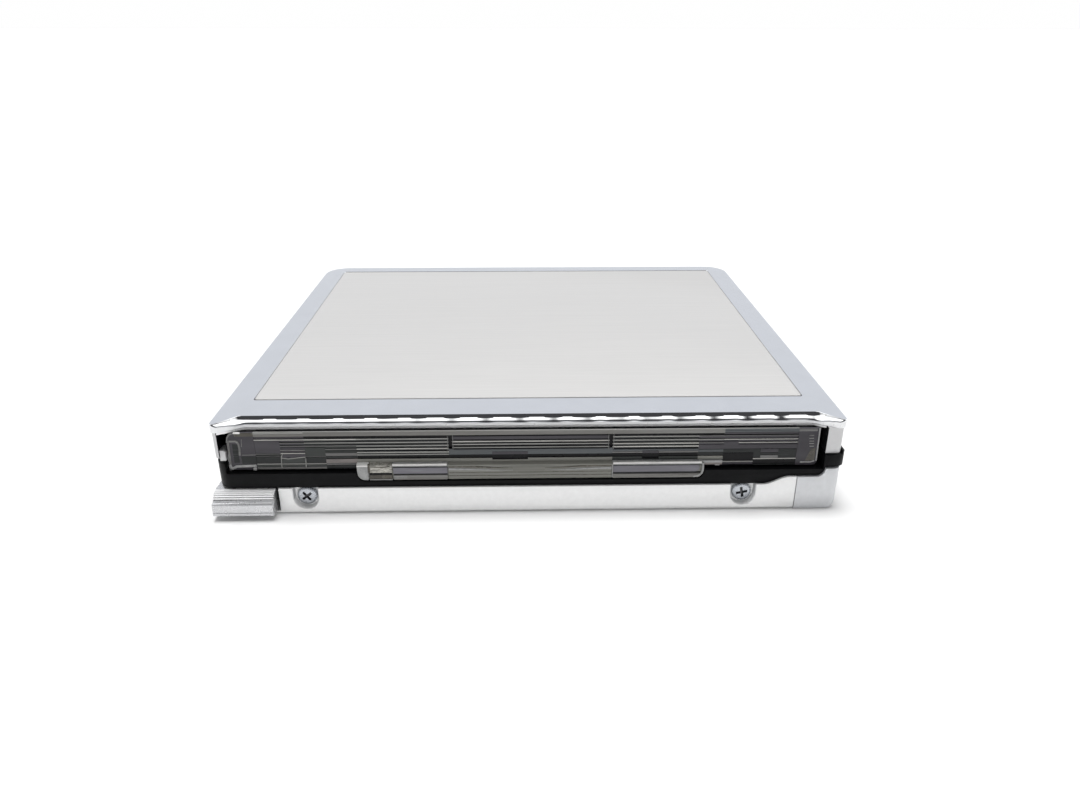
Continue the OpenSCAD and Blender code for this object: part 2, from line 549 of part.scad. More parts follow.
lid_frame();
lid_panel();
lid_rail_left();
lid_rail_right();
lid_rear_skirt();
lid_window();
window_retainer();
lid_hook();
holder_plate();
holder_channel_left();
holder_channel_right();
bottom_case();
mid_frame();
hinge_pins();
mechanism_deck();
deck_dampers();
deck_screws();
lift_spring();
front_screws();
bottom_screws();
spindle_stator();
spindle_rotor();
turntable();
chucking_magnet();
pickup_sled();
lens_actuator();
objective_lens();
guide_shafts();
lead_screw();
sled_motor();
screw_bearing();
main_board();
board_chips();
headphone_jack();
battery_cell();
battery_contacts();
battery_door();
battery_door_pin();
door_contact();
open_slider();
slider_spring();
key_play();
key_back();
key_next();
key_domes();
key_board();
hold_switch();
charge_contacts();
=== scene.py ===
import json
import math

import bmesh
import bpy
from mathutils import Matrix, Vector

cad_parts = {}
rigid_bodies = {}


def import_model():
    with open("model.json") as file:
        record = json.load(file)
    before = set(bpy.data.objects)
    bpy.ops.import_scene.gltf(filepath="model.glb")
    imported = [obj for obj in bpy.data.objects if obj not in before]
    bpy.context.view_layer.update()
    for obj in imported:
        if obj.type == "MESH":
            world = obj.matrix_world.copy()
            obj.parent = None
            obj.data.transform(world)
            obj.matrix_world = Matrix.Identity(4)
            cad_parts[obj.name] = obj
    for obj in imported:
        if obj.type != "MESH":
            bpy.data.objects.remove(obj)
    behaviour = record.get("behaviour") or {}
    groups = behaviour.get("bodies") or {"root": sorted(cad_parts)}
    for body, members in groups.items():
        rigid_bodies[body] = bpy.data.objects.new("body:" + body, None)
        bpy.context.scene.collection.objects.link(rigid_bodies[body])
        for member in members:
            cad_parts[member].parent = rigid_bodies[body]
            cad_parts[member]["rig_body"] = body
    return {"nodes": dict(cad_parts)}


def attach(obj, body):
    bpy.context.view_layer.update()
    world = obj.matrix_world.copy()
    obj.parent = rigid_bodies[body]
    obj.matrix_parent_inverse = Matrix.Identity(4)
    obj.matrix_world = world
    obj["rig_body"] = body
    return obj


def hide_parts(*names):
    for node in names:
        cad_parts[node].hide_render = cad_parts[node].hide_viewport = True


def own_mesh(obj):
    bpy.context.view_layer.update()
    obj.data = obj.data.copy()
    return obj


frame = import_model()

scene = bpy.context.scene
NODES = frame["nodes"]
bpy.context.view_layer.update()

MM = 0.001
HALF = 36.25  # row y = Y - HALF; Y is measured from the front of the case


# ---------------------------------------------------------------- materials
def tree(name):
    m = bpy.data.materials.new(name)
    m.use_nodes = True
    nt = m.node_tree
    return m, nt, nt.nodes["Principled BSDF"]


def link(nt, a, b):
    nt.links.new(a, b)


def coords(nt, scale):
    tc = nt.nodes.new("ShaderNodeTexCoord")
    mp = nt.nodes.new("ShaderNodeMapping")
    mp.inputs["Scale"].default_value = scale
    link(nt, tc.outputs["Object"], mp.inputs["Vector"])
    return mp.outputs["Vector"]


def noise(nt, scale, detail=3.0, rough=0.55):
    n = nt.nodes.new("ShaderNodeTexNoise")
    n.inputs["Scale"].default_value = 1.0
    n.inputs["Detail"].default_value = detail
    n.inputs["Roughness"].default_value = rough
    link(nt, coords(nt, scale), n.inputs["Vector"])
    return n.outputs["Fac"]


def spread(nt, fac, lo, hi, a=0.3, b=0.7):
    r = nt.nodes.new("ShaderNodeMapRange")
    r.inputs["From Min"].default_value = a
    r.inputs["From Max"].default_value = b
    r.inputs["To Min"].default_value = lo
    r.inputs["To Max"].default_value = hi
    link(nt, fac, r.inputs["Value"])
    return r.outputs["Result"]


def ramp(nt, fac, stops):
    r = nt.nodes.new("ShaderNodeValToRGB")
    el = r.color_ramp.elements
    while len(el) < len(stops):
        el.new(0.5)
    for e, (p, c) in zip(el, stops):
        e.position = p
        e.color = (c[0], c[1], c[2], 1.0)
    link(nt, fac, r.inputs["Fac"])
    return r.outputs["Color"]


def shade(c, k):
    return tuple(min(1.0, x * k) for x in c)


def surface(name, color, metallic=0.0, rough=0.35, vary=0.06, scale=900.0, rough_vary=0.06,
            bump=0.0, bump_scale=9000.0, tint=None, coat=0.0, coat_rough=0.08, spec=0.5,
            transmission=0.0, ior=1.49, aniso=0.0, stretch=None, bump_dist=0.00002):
    """A procedural finish: colour drift, uneven gloss and a fine surface texture."""
    m, nt, bsdf = tree(name)
    sc = stretch or (scale, scale, scale)
    bs = bump_scale if isinstance(bump_scale, tuple) else (bump_scale,) * 3
    fac = noise(nt, sc, 4.0)
    light = shade(tint or color, 1.0 + vary)
    link(nt, ramp(nt, fac, [(0.3, shade(color, 1.0 - vary)), (0.5, color), (0.7, light)]), bsdf.inputs["Base Color"])
    bsdf.inputs["Metallic"].default_value = metallic
    f2 = noise(nt, tuple(s * 2.7 for s in sc), 3.0)
    link(nt, spread(nt, f2, max(0.02, rough - rough_vary), rough + rough_vary), bsdf.inputs["Roughness"])
    if bump:
        b = nt.nodes.new("ShaderNodeBump")
        b.inputs["Strength"].default_value = bump
        b.inputs["Distance"].default_value = bump_dist
        link(nt, noise(nt, bs, 2.0), b.inputs["Height"])
        link(nt, b.outputs["Normal"], bsdf.inputs["Normal"])
    bsdf.inputs["Coat Weight"].default_value = coat
    bsdf.inputs["Coat Roughness"].default_value = coat_rough
    bsdf.inputs["Specular IOR Level"].default_value = spec
    bsdf.inputs["IOR"].default_value = ior
    bsdf.inputs["Transmission Weight"].default_value = transmission
    bsdf.inputs["Anisotropic"].default_value = aniso
    m.diffuse_color = (*color, 1.0)
    return m


def brushed(name, color, rough, length, width, depth, vary, metallic=1.0, fleck=0.0):
    """Hairline metal: long thin streaks along X."""
    m, nt, bsdf = tree(name)
    long_fac = noise(nt, (length, width, width), 5.0, 0.65)
    fine_fac = noise(nt, (length * 3.1, width * 2.3, width * 2.3), 4.0, 0.6)
    add = nt.nodes.new("ShaderNodeMath")
    add.operation = "ADD"
    link(nt, long_fac, add.inputs[0])
    link(nt, fine_fac, add.inputs[1])
    half = nt.nodes.new("ShaderNodeMath")
    half.operation = "MULTIPLY"
    half.inputs[1].default_value = 0.5
    link(nt, add.outputs[0], half.inputs[0])
    fac = half.outputs[0]
    link(nt, ramp(nt, fac, [(0.32, shade(color, 1.0 - vary)), (0.5, color), (0.68, shade(color, 1.0 + vary))]),
         bsdf.inputs["Base Color"])
    link(nt, spread(nt, fine_fac, rough - 0.08, rough + 0.1), bsdf.inputs["Roughness"])
    b = nt.nodes.new("ShaderNodeBump")
    b.inputs["Strength"].default_value = depth
    b.inputs["Distance"].default_value = 0.00002
    link(nt, fac, b.inputs["Height"])
    link(nt, b.outputs["Normal"], bsdf.inputs["Normal"])
    bsdf.inputs["Metallic"].default_value = metallic
    m.diffuse_color = (*color, 1.0)
    return m


MAT = {
    "lid_chrome": surface("lid_chrome", (0.765, 0.782, 0.815), 1.0, 0.17, 0.02, 300.0, 0.03, bump=0.02, bump_scale=2200.0),
    "lip_chrome": surface("lip_chrome", (0.86, 0.87, 0.88), 1.0, 0.055, 0.03, 260.0, 0.02, bump=0.05,
                          bump_scale=(420.0, 900.0, 900.0), bump_dist=0.00006),
    "lid_edge": surface("lid_edge", (0.90, 0.905, 0.915), 0.1, 0.3, 0.02, 500.0, 0.04, bump=0.03, bump_scale=5000.0),
    "bar_silver": surface("bar_silver", (0.93, 0.93, 0.935), 0.0, 0.35, 0.02, 500.0, 0.04, bump=0.03, bump_scale=5000.0),
    "panel_aluminium": brushed("panel_aluminium", (0.64, 0.632, 0.62), 0.38, 55.0, 5200.0, 0.18, 0.06, 0.5),
    "silver_paint": surface("silver_paint", (0.83, 0.832, 0.83), 0.5, 0.42, 0.025, 1500.0, 0.05, bump=0.05, bump_scale=14000.0),
    # whiter copy of the case paint: painted highlight on the screw pocket floors
    "pocket_floor_highlight": surface("pocket_floor_highlight", (0.96, 0.96, 0.96), 0.0, 0.4, 0.02, 1500.0, 0.05, bump=0.05, bump_scale=14000.0),
    "rail_paint": surface("rail_paint", (0.54, 0.54, 0.545), 0.4, 0.36, 0.03, 1200.0, 0.05, bump=0.04, bump_scale=12000.0),
    "door_paint": surface("door_paint", (0.62, 0.63, 0.646), 0.5, 0.42, 0.03, 1500.0, 0.05, bump=0.06, bump_scale=14000.0),
    "smoked_clear": surface("smoked_clear", (0.34, 0.335, 0.34), 0.0, 0.1, 0.1, 260.0, 0.04, transmission=0.72, ior=1.49,
                            stretch=(120.0, 500.0, 500.0)),
    "window_face": surface("window_face", (0.050, 0.047, 0.054), 0.0, 0.22, 0.2, 200.0, 0.05, spec=0.25, stretch=(70.0, 600.0, 600.0)),
    "window_green": surface("window_green", (0.036, 0.040, 0.038), 0.0, 0.22, 0.2, 200.0, 0.05, spec=0.25, stretch=(70.0, 600.0, 600.0)),
    "window_deep": surface("window_deep", (0.021, 0.023, 0.023), 0.0, 0.25, 0.25, 200.0, 0.05, spec=0.2, stretch=(70.0, 600.0, 600.0)),
    # near black: painted shade on the steps between the window's bands and behind its front
    "window_dark": surface("window_dark", (0.007, 0.007, 0.008), 0.0, 0.3, 0.25, 300.0, 0.06, spec=0.15),
    "window_blue": surface("window_blue", (0.078, 0.085, 0.090), 0.0, 0.2, 0.16, 200.0, 0.05, spec=0.3, stretch=(60.0, 600.0, 900.0)),
    # light rib tops: painted highlight along the rib edges
    "window_line": surface("window_line", (0.40, 0.395, 0.375), 0.0, 0.22, 0.25, 200.0, 0.06, spec=0.4, stretch=(60.0, 800.0, 2200.0)),
    "window_mid": surface("window_mid", (0.23, 0.23, 0.22), 0.0, 0.22, 0.28, 200.0, 0.06, spec=0.4, stretch=(60.0, 800.0, 2200.0)),
    "window_dim": surface("window_dim", (0.125, 0.124, 0.122), 0.0, 0.22, 0.25, 200.0, 0.06, spec=0.3, stretch=(60.0, 800.0, 2200.0)),
    "window_band": surface("window_band", (0.165, 0.161, 0.152), 0.0, 0.2, 0.16, 200.0, 0.06, spec=0.3, stretch=(45.0, 600.0, 900.0),
                           tint=(0.18, 0.182, 0.175)),
    # painted highlight: the bright spot at the window's top-left and the strips along the tongue's top ledge
    "window_glint": surface("window_glint", (0.70, 0.695, 0.68), 0.0, 0.32, 0.1, 700.0, 0.08, bump=0.2, bump_scale=6000.0),
    "window_grey": surface("window_grey", (0.26, 0.262, 0.26), 0.0, 0.28, 0.18, 500.0, 0.08, bump=0.15, bump_scale=5000.0,
                           coat=0.3, coat_rough=0.1),
    "window_mauve": surface("window_mauve", (0.150, 0.146, 0.168), 0.0, 0.2, 0.14, 400.0, 0.05, spec=0.4, stretch=(160.0, 900.0, 1500.0),
                            tint=(0.165, 0.170, 0.182)),
    "window_olive": surface("window_olive", (0.168, 0.168, 0.150), 0.0, 0.2, 0.14, 400.0, 0.05, spec=0.4, stretch=(60.0, 700.0, 2600.0)),
    "window_moss": surface("window_moss", (0.138, 0.137, 0.121), 0.0, 0.2, 0.14, 400.0, 0.05, spec=0.4, stretch=(60.0, 700.0, 2600.0)),
    "window_rose": surface("window_rose", (0.17, 0.155, 0.148), 0.0, 0.22, 0.2, 400.0, 0.05, spec=0.3, stretch=(300.0, 700.0, 1600.0)),
    "window_umber": surface("window_umber", (0.070, 0.064, 0.052), 0.1, 0.25, 0.3, 600.0, 0.06, spec=0.4, bump=0.3, bump_scale=3000.0),
    "window_foil": surface("window_foil", (0.32, 0.31, 0.28), 0.3, 0.26, 0.5, 1500.0, 0.1, bump=0.8, bump_scale=3000.0,
                           stretch=(900.0, 1500.0, 2600.0), bump_dist=0.00012),
    "black_resin": surface("black_resin", (0.0048, 0.005, 0.0055), 0.0, 0.42, 0.2, 900.0, 0.07, bump=0.16, bump_scale=11000.0, spec=0.1),
    "spring_steel": brushed("spring_steel", (0.58, 0.58, 0.57), 0.3, 160.0, 3600.0, 0.2, 0.08),
    "bright_steel": surface("bright_steel", (0.66, 0.665, 0.67), 1.0, 0.22, 0.06, 1400.0, 0.07, bump=0.06, bump_scale=9000.0),
    "screw_steel": surface("screw_steel", (0.44, 0.46, 0.49), 1.0, 0.28, 0.1, 2600.0, 0.08, bump=0.1, bump_scale=8000.0),
    # near-black copy of the screw steel: painted shade in the screw crosses
    "screw_recess_shade": surface("screw_recess_shade", (0.10, 0.10, 0.105), 0.9, 0.45, 0.2, 2600.0, 0.08, bump=0.1, bump_scale=8000.0),
    # rib crests of the slider: painted highlight; its grooves: painted shade
    "slider_crest_highlight": surface("slider_crest_highlight", (0.95, 0.952, 0.96), 0.0, 0.25, 0.02, 300.0, 0.04),
    "slider_groove_shade": surface("slider_groove_shade", (0.22, 0.22, 0.23), 0.3, 0.3, 0.05, 300.0, 0.05),
    "slider_chrome": surface("slider_chrome", (0.60, 0.605, 0.62), 0.6, 0.28, 0.03, 400.0, 0.04, bump=0.01, bump_scale=5000.0),
    "turntable_metal": surface("turntable_metal", (0.55, 0.55, 0.54), 1.0, 0.3, 0.08, 900.0, 0.06, bump=0.06),
    "magnet_dark": surface("magnet_dark", (0.06, 0.06, 0.062), 0.5, 0.5, 0.2, 2200.0, 0.08, bump=0.3, bump_scale=7000.0),
    "stator_resin": surface("stator_resin", (0.09, 0.065, 0.04), 0.0, 0.45, 0.25, 1500.0, 0.08, bump=0.2),
    "sled_metal": surface("sled_metal", (0.42, 0.42, 0.43), 0.85, 0.42, 0.12, 1500.0, 0.08, bump=0.25, bump_scale=6000.0),
    "actuator_black": surface("actuator_black", (0.02, 0.02, 0.022), 0.0, 0.4, 0.2, 1200.0, 0.06, bump=0.15),
    "lens_glass": surface("lens_glass", (0.50, 0.55, 0.66), 0.0, 0.05, 0.08, 700.0, 0.02, transmission=0.6, coat=0.7, coat_rough=0.03),
    "board_green": surface("board_green", (0.022, 0.095, 0.05), 0.0, 0.38, 0.4, 700.0, 0.08, bump=0.3, bump_scale=2600.0,
                           tint=(0.05, 0.16, 0.08), coat=0.3),
    "chip_black": surface("chip_black", (0.022, 0.022, 0.024), 0.0, 0.5, 0.2, 1800.0, 0.06, bump=0.2, bump_scale=12000.0),
    "damper_rubber": surface("damper_rubber", (0.03, 0.028, 0.028), 0.0, 0.7, 0.2, 1800.0, 0.06, bump=0.3, bump_scale=9000.0),
    "cell_wrap": surface("cell_wrap", (0.055, 0.11, 0.16), 0.0, 0.3, 0.12, 260.0, 0.05, coat=0.5, bump=0.05),
    "contact_gold": surface("contact_gold", (0.83, 0.62, 0.27), 1.0, 0.24, 0.1, 1600.0, 0.06, bump=0.05),
    "key_silver": surface("key_silver", (0.66, 0.665, 0.675), 0.5, 0.32, 0.05, 1500.0, 0.05, bump=0.08, bump_scale=10000.0),
}


# ---------------------------------------------------------------- mesh tools (mm, Y from the front)
class Shape:
    def __init__(self):
        self.v, self.f, self.m = [], [], []

    def loft(self, rings, mat=0, close=True, cap0=False, cap1=False, ring_mats=None):
        base, n = len(self.v), len(rings[0])
        for r in rings:
            self.v += [tuple(p) for p in r]
        for i in range(len(rings) - 1):
            k = ring_mats[i] if ring_mats else mat
            for j in range(n if close else n - 1):
                a, b = base + i * n + j, base + i * n + (j + 1) % n
                self.f.append((a, b, b + n, a + n))
                self.m.append(k)
        if cap0:
            self.f.append(tuple(base + j for j in reversed(range(n))))
            self.m.append(ring_mats[0] if ring_mats else mat)
        if cap1:
            o = base + (len(rings) - 1) * n
            self.f.append(tuple(o + j for j in range(n)))
            self.m.append(ring_mats[-1] if ring_mats else mat)


def inset(poly, d):
    n, out = len(poly), []
    for i in range(n):
        p0, p1, p2 = Vector(poly[i - 1]), Vector(poly[i]), Vector(poly[(i + 1) % n])
        e1, e2 = (p1 - p0).normalized(), (p2 - p1).normalized()
        n1, n2 = Vector((-e1.y, e1.x)), Vector((-e2.y, e2.x))
        out.append(p1 + (n1 + n2) * (d / max(0.3, 1.0 + n1.dot(n2))))
    return [(p.x, p.y) for p in out]


def at(axis, u, v, w):
    return (w, u, v) if axis == "x" else (u, w, v) if axis == "y" else (u, v, w)


def prism(s, axis, poly, a, b, r=0.05, r2=None, mat=0, seg=2):
    """poly swept from a to b along axis, both rims rounded."""
    area = sum(poly[i - 1][0] * poly[i][1] - poly[i][0] * poly[i - 1][1] for i in range(len(poly)))
    if area < 0:
        poly = poly[::-1]
    r2 = r if r2 is None else r2
    rings = []

    def ring(off, w):
        rings.append([at(axis, p[0], p[1], w) for p in (inset(poly, off) if off > 1e-6 else poly)])

    if r > 0:
        for k in range(seg + 1):
            t = math.pi / 2 * k / seg
            ring(r * (1 - math.sin(t)), a + r * (1 - math.cos(t)))
    else:
        ring(0, a)
    if r2 > 0:
        for k in range(seg + 1):
            t = math.pi / 2 * k / seg
            ring(r2 * (1 - math.cos(t)), b - r2 * (1 - math.sin(t)))
    else:
        ring(0, b)
    s.loft(rings, mat, True, True, True)


def rrect(x0, x1, y0, y1, r=0.0, seg=5):
    """Rounded rectangle, anticlockwise; r is one radius or (lower left, lower right, upper right, upper left)."""
    rs = (r,) * 4 if isinstance(r, (int, float)) else r
    out = []
    for (cx, cy), q, a0 in zip(((x0, y0), (x1, y0), (x1, y1), (x0, y1)), rs, (180, 270, 0, 90)):
        sx, sy = (1 if cx == x0 else -1), (1 if cy == y0 else -1)
        if q < 1e-6:
            out.append((cx, cy))
            continue
        for k in range(seg + 1):
            t = math.radians(a0 + 90.0 * k / seg)
            out.append((cx + sx * q + q * math.cos(t), cy + sy * q + q * math.sin(t)))
    return out


def strip(path, half):
    """Outline of a band of the given half width along a path."""
    left, right = [], []
    n = len(path)
    for i in range(n):
        p = Vector(path[i])
        d1 = (p - Vector(path[i - 1])).normalized() if i else None
        d2 = (Vector(path[i + 1]) - p).normalized() if i < n - 1 else None
        d = ((d1 or d2) + (d2 or d1)).normalized()
        nrm = Vector((-d.y, d.x))
        k = half / max(0.5, nrm.dot(Vector((-(d1 or d2).y, (d1 or d2).x))))
        left.append((p.x + nrm.x * k, p.y + nrm.y * k))
        right.append((p.x - nrm.x * k, p.y - nrm.y * k))
    return right + left[::-1]


def mesh_of(name, s):
    me = bpy.data.meshes.new(name)
    me.from_pydata([(x * MM, (y - HALF) * MM, z * MM) for x, y, z in s.v], [], s.f)
    me.polygons.foreach_set("material_index", s.m)
    return me


def settle(me, sharp):
    bm = bmesh.new()
    bm.from_mesh(me)
    bmesh.ops.recalc_face_normals(bm, faces=bm.faces)
    lim = math.radians(sharp)
    for e in bm.edges:
        e.smooth = len(e.link_faces) == 2 and e.calc_face_angle(0.0) < lim
    for f in bm.faces:
        f.smooth = True
    bm.to_mesh(me)
    bm.free()


def piece(name, s, mats, body, nodes=(), sharp=32):
    me = mesh_of(name, s) if isinstance(s, Shape) else s
    for m in mats:
        me.materials.append(MAT[m])
    settle(me, sharp)
    o = bpy.data.objects.new(name, me)
    scene.collection.objects.link(o)
    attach(o, body)
    if nodes:
        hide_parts(*nodes)
    return o


def carved(name, s, cutters):
    """The mesh of s with the cutter shapes taken out."""
    me = mesh_of(name, s)
    settle(me, 30)
    a = bpy.data.objects.new(name + "_work", me)
    scene.collection.objects.link(a)
    extra = []
    for i, c in enumerate(cutters):
        cm = mesh_of(f"{name}_cut{i}", c)
        settle(cm, 30)
        b = bpy.data.objects.new(f"{name}_cut{i}", cm)
        scene.collection.objects.link(b)
        extra.append(b)
        md = a.modifiers.new(f"cut{i}", "BOOLEAN")
        md.operation = "DIFFERENCE"
        md.solver = "EXACT"
        md.object = b
    bpy.context.view_layer.update()
    dg = bpy.context.evaluated_depsgraph_get()
    out = bpy.data.meshes.new_from_object(a.evaluated_get(dg))
    out.name = name
    for o in [a] + extra:
        bpy.data.objects.remove(o)
    return out


def smooth01(t):
    t = max(0.0, min(1.0, t))
    return t * t * (3 - 2 * t)


def hard_edges(bm, angle):
    lim = math.radians(angle)
    return [e for e in bm.edges if len(e.link_faces) == 2 and e.calc_face_angle(0.0) > lim]


def round_off(bm, edges, size, seg, clamp):
    bmesh.ops.bevel(bm, geom=edges, offset=size * MM, offset_type="OFFSET", segments=seg, profile=0.5, affect="EDGES", clamp_overlap=clamp)


def on_rim(v, x, z, r):
    """On the edge of a U-shaped pocket in the front face."""
    if abs(v.co.y + HALF * MM) > 2e-6:
        return False
    dx, dz = v.co.x / MM - x, v.co.z / MM - z
    return abs((abs(dx) if dz > 0.0 else math.hypot(dx, dz)) - r) < 0.02


def on_foot(v):
    return abs(v.co.z) < 2e-6 and abs(v.co.y) > 0.0352 and v.co.x > -0.0373


def draw_in(bm, foot, k):
    """Flatten the rounded front foot: carry its lower part further in under the case, easing off at both ends."""
    for v in bm.verts:
        x, y, z = v.co.x / MM, v.co.y / MM + HALF, v.co.z / MM
        if z < foot - 0.004 and y < foot + 0.02:
            ends = smooth01((x + 36.6) / 2.0) * smooth01((33.3 - x) / 1.2)
            v.co.y += k * ends * (foot - math.sqrt(max(0.0, foot * foot - (foot - z) ** 2))) * MM


def bring_forward(bm, d, reach=3.0):
    """Carry the front of a shell forward by d, easing off behind it."""
    for v in bm.verts:
        y = v.co.y / MM + HALF
        if y < reach:
            v.co.y -= d * (1.0 - max(0.0, y) / reach) * MM


def softened(node, mat, width=0.1, seg=2, angle=30, foot=0.0, rims=(), rim_r=1.55, rim=0.2, forward=0.0, tuck=0.0):
    """A copy of a CAD node with its hard edges rounded; the foot and the pocket rims get a larger radius, and any
    pocket floors take a whiter copy of the paint as a painted highlight.
    """
    bm = bmesh.new()
    bm.from_mesh(NODES[node].data)
    bmesh.ops.remove_doubles(bm, verts=bm.verts, dist=2e-6)
    bmesh.ops.dissolve_limit(bm, angle_limit=math.radians(0.6), use_dissolve_boundaries=False, verts=bm.verts, edges=bm.edges)
    for x, z in rims:
        round_off(bm, [e for e in hard_edges(bm, 50) if all(on_rim(v, x, z, rim_r) for v in e.verts)], rim, 3, False)
    if foot:
        round_off(bm, [e for e in hard_edges(bm, 50) if all(on_foot(v) for v in e.verts)], foot, 5, False)
        draw_in(bm, foot, tuck)
    round_off(bm, hard_edges(bm, angle), width, seg, True)
    bring_forward(bm, forward)
    for v in bm.verts:
        v.co.z = max(v.co.z, 0.0)
    me = bpy.data.meshes.new(node + "_finish")
    bm.to_mesh(me)
    bm.free()
    me.polygons.foreach_set("material_index", [0] * len(me.polygons))
    for p in me.polygons:  # floor of each pocket: a whiter copy of the case paint, painted highlight
        if any(math.hypot(p.center.x / MM - x, p.center.z / MM - z) < rim_r + 0.12 and p.center.z / MM < z and p.normal.z > 0.15 for x, z in rims):
            p.material_index = 1
    return piece(node + "_finish", me, [mat, "pocket_floor_highlight"] if rims else [mat], NODES[node]["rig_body"], (node,), 28)


def finish_node(node, mat):
    o = NODES[node]
    for s in o.material_slots:
        s.material = MAT[mat]


# ---------------------------------------------------------------- lid cap
def lerp(a, b, t):
    return a + (b - a) * t




LIP = [(0.0, 0.03), (0.03, 0.06), (0.27, 0.38), (0.42, 0.446), (0.57, 0.512), (0.71, 0.573), (0.84, 0.63),
       (0.905, 0.675), (0.955, 0.73), (0.99, 0.80), (1.0, 0.87)]
ROLL = [(math.sin(math.pi / 2 * i / 10), 0.14 * (1 - math.cos(math.pi / 2 * i / 10))) for i in range(11)]
RIPPLE = [0.0, 0.0, 0.0, 0.25, 0.5, 0.75, 1.0, 1.0, 0.8, 0.4, 0.0]


def lid_cap():
    """Lid cap as rings round the lid: inner edge, flat border, crease, lip and outer face."""
    s = Shape()
    rf, rr, ri, edge_w = 1.0, 4.0, 0.5, 0.12
    xo, y1, xi, yi0, yi1 = 39.15, 72.5, 35.7, 7.6, 69.5
    st = []  # inner point, crease point, face point, outward normal, lip share

    def soft(k):
        return 0.0 if k <= 0.0 else k * k / 0.8 if k < 0.4 else k - 0.2

    def lip_at(x):
        ax = abs(x)
        tc = 2.85 - 0.93 * soft(ax - 35.9)
        tf = max(0.0, 1.97 - 0.60 * soft(ax - 35.1))
        return tc, tf, lerp(1.0, 0.35, smooth01((ax - 35.6) / 2.9))

    x0 = xo - rf
    xs = [-x0 + 0.14 * i for i in range(20)]
    xs += [-35.2 + 0.32 * i for i in range(220)]
    xs = [x for x in xs if x < 35.15] + [x0 - 0.14 * i for i in range(19, -1, -1)]
    for x in xs:
        tc, tf, w = lip_at(x)
        st.append(((x * (xi - ri) / x0, yi0), (x, tc), (x, tf), (0.0, -1.0), w))
    tc0, tf0, w0 = lip_at(x0)
    side = []
    tip = (x0 + (rf - edge_w) * math.cos(math.pi / 4), rf - (rf - edge_w) * math.sin(math.pi / 4))
    for k in range(1, 13):
        a = math.radians(-90 + 90 * k / 12)
        c, d = math.cos(a), math.sin(a)
        u = smooth01(k / 9.0)
        q = rf - lerp(tf0, 0.0, u)
        crease = (lerp(x0, tip[0], k / 6), lerp(tc0, tip[1], k / 6)) if k <= 6 else (x0 + (rf - edge_w) * c, rf + (rf - edge_w) * d)
        side.append(((xi - ri + ri * c, yi0 + ri + ri * d), crease, (x0 + q * c, rf + q * d), (c, d), w0 * (1.0 - u)))
    for k in range(1, 12):
        t = k / 12
        y = lerp(rf, y1 - rr, t)
        side.append(((xi, lerp(yi0 + ri, yi1 - ri, t)), (xo - edge_w, y), (xo, y), (1.0, 0.0), 0.0))
    for k in range(0, 17):
        a = math.radians(90 * k / 16)
        c, d = math.cos(a), math.sin(a)
        side.append(((xi - ri + ri * c, yi1 - ri + ri * d), (xo - rr + (rr - edge_w) * c, y1 - rr + (rr - edge_w) * d),
                     (xo - rr + rr * c, y1 - rr + rr * d), (c, d), 0.0))
    rear = []
    for k in range(1, 12):
        x = lerp(xo - rr, rr - xo, k / 12)
        rear.append(((lerp(xi - ri, ri - xi, k / 12), yi1), (x, y1 - edge_w), (x, y1), (0.0, 1.0), 0.0))

    def mirror(q):
        return tuple((-p[0], p[1]) for p in q[:4]) + (q[4],)

    st = st + side + rear + [mirror(q) for q in reversed(side)]
    rings, mats = [], []

    def ring(fn, mat):
        rings.append([fn(*q) for q in st])
        mats.append(mat)

    def back(p, toward, d):
        v = Vector((toward[0] - p[0], toward[1] - p[1]))
        v.normalize()
        return p[0] + v.x * d, p[1] + v.y * d

    ring(lambda i_, c, f, n, w: (*i_, 11.77), 0)
    ring(lambda i_, c, f, n, w: (*i_, 12.14), 0)
    ring(lambda i_, c, f, n, w: (*back(i_, c, 0.07), 12.2), 0)
    for d, drop in ((0.42, 0.0), (0.37, 0.0), (0.2, 0.01), (0.05, 0.025)):
        ring(lambda i_, c, f, n, w, d=d, drop=drop: (*back(c, i_, d), 12.2 - drop * w), 0)
    for i in range(11):
        def point(i_, c, f, n, w, i=i):
            k = lerp(ROLL[i][0], LIP[i][0], w)
            dz = lerp(ROLL[i][1], LIP[i][1], w)
            wave = 0.0
            if RIPPLE[i] and w > 0.0:
                x = c[0]
                wave = 0.05 * lerp(0.35, 1.12, smooth01((x + 32.0) / 52.0)) * RIPPLE[i] * w * (math.sin(x * 1.53 + 0.6) + 0.45 * math.sin(x * 2.9 + 1.7))
            return (lerp(c[0], f[0], k), lerp(c[1], f[1], k), 12.2 - dz + wave)
        ring(point, 1 if i < 10 else 2)
    ring(lambda i_, c, f, n, w: (f[0] + n[0] * 0.11 * w, max(0.0, f[1] + n[1] * 0.11 * w), 11.09), 2)
    ring(lambda i_, c, f, n, w: (f[0] + n[0] * (0.11 * w - 0.04), f[1] + n[1] * (0.11 * w - 0.04), 11.05), 2)
    s.loft(rings, 0, True, True, True, mats)
    return s


piece("lid_cap", lid_cap(), ["lid_chrome", "lip_chrome", "lid_edge"], "lid", ("lid_frame",), 30)

s = Shape()
prism(s, "z", rrect(-35.655, 35.655, 7.88, 69.455, 0.45), 11.78, 12.18, 0.02, 0.09)
piece("lid_sheet", s, ["panel_aluminium"], "lid", ("lid_panel",), 50)


# ---------------------------------------------------------------- lid side walls
def wall_out(y):
    if y < 0.85:
        return 38.42 + math.sqrt(max(0.0, 0.25 - (0.85 - y) ** 2))
    if y > 68.5:
        return 35.23 + math.sqrt(max(0.0, 13.69 - (y - 68.5) ** 2))
    return 38.92


def wall_foot(y):
    return 7.5 if y <= 69.3 else 8.7 - math.sqrt(max(0.0, 1.44 - (y - 69.3) ** 2))


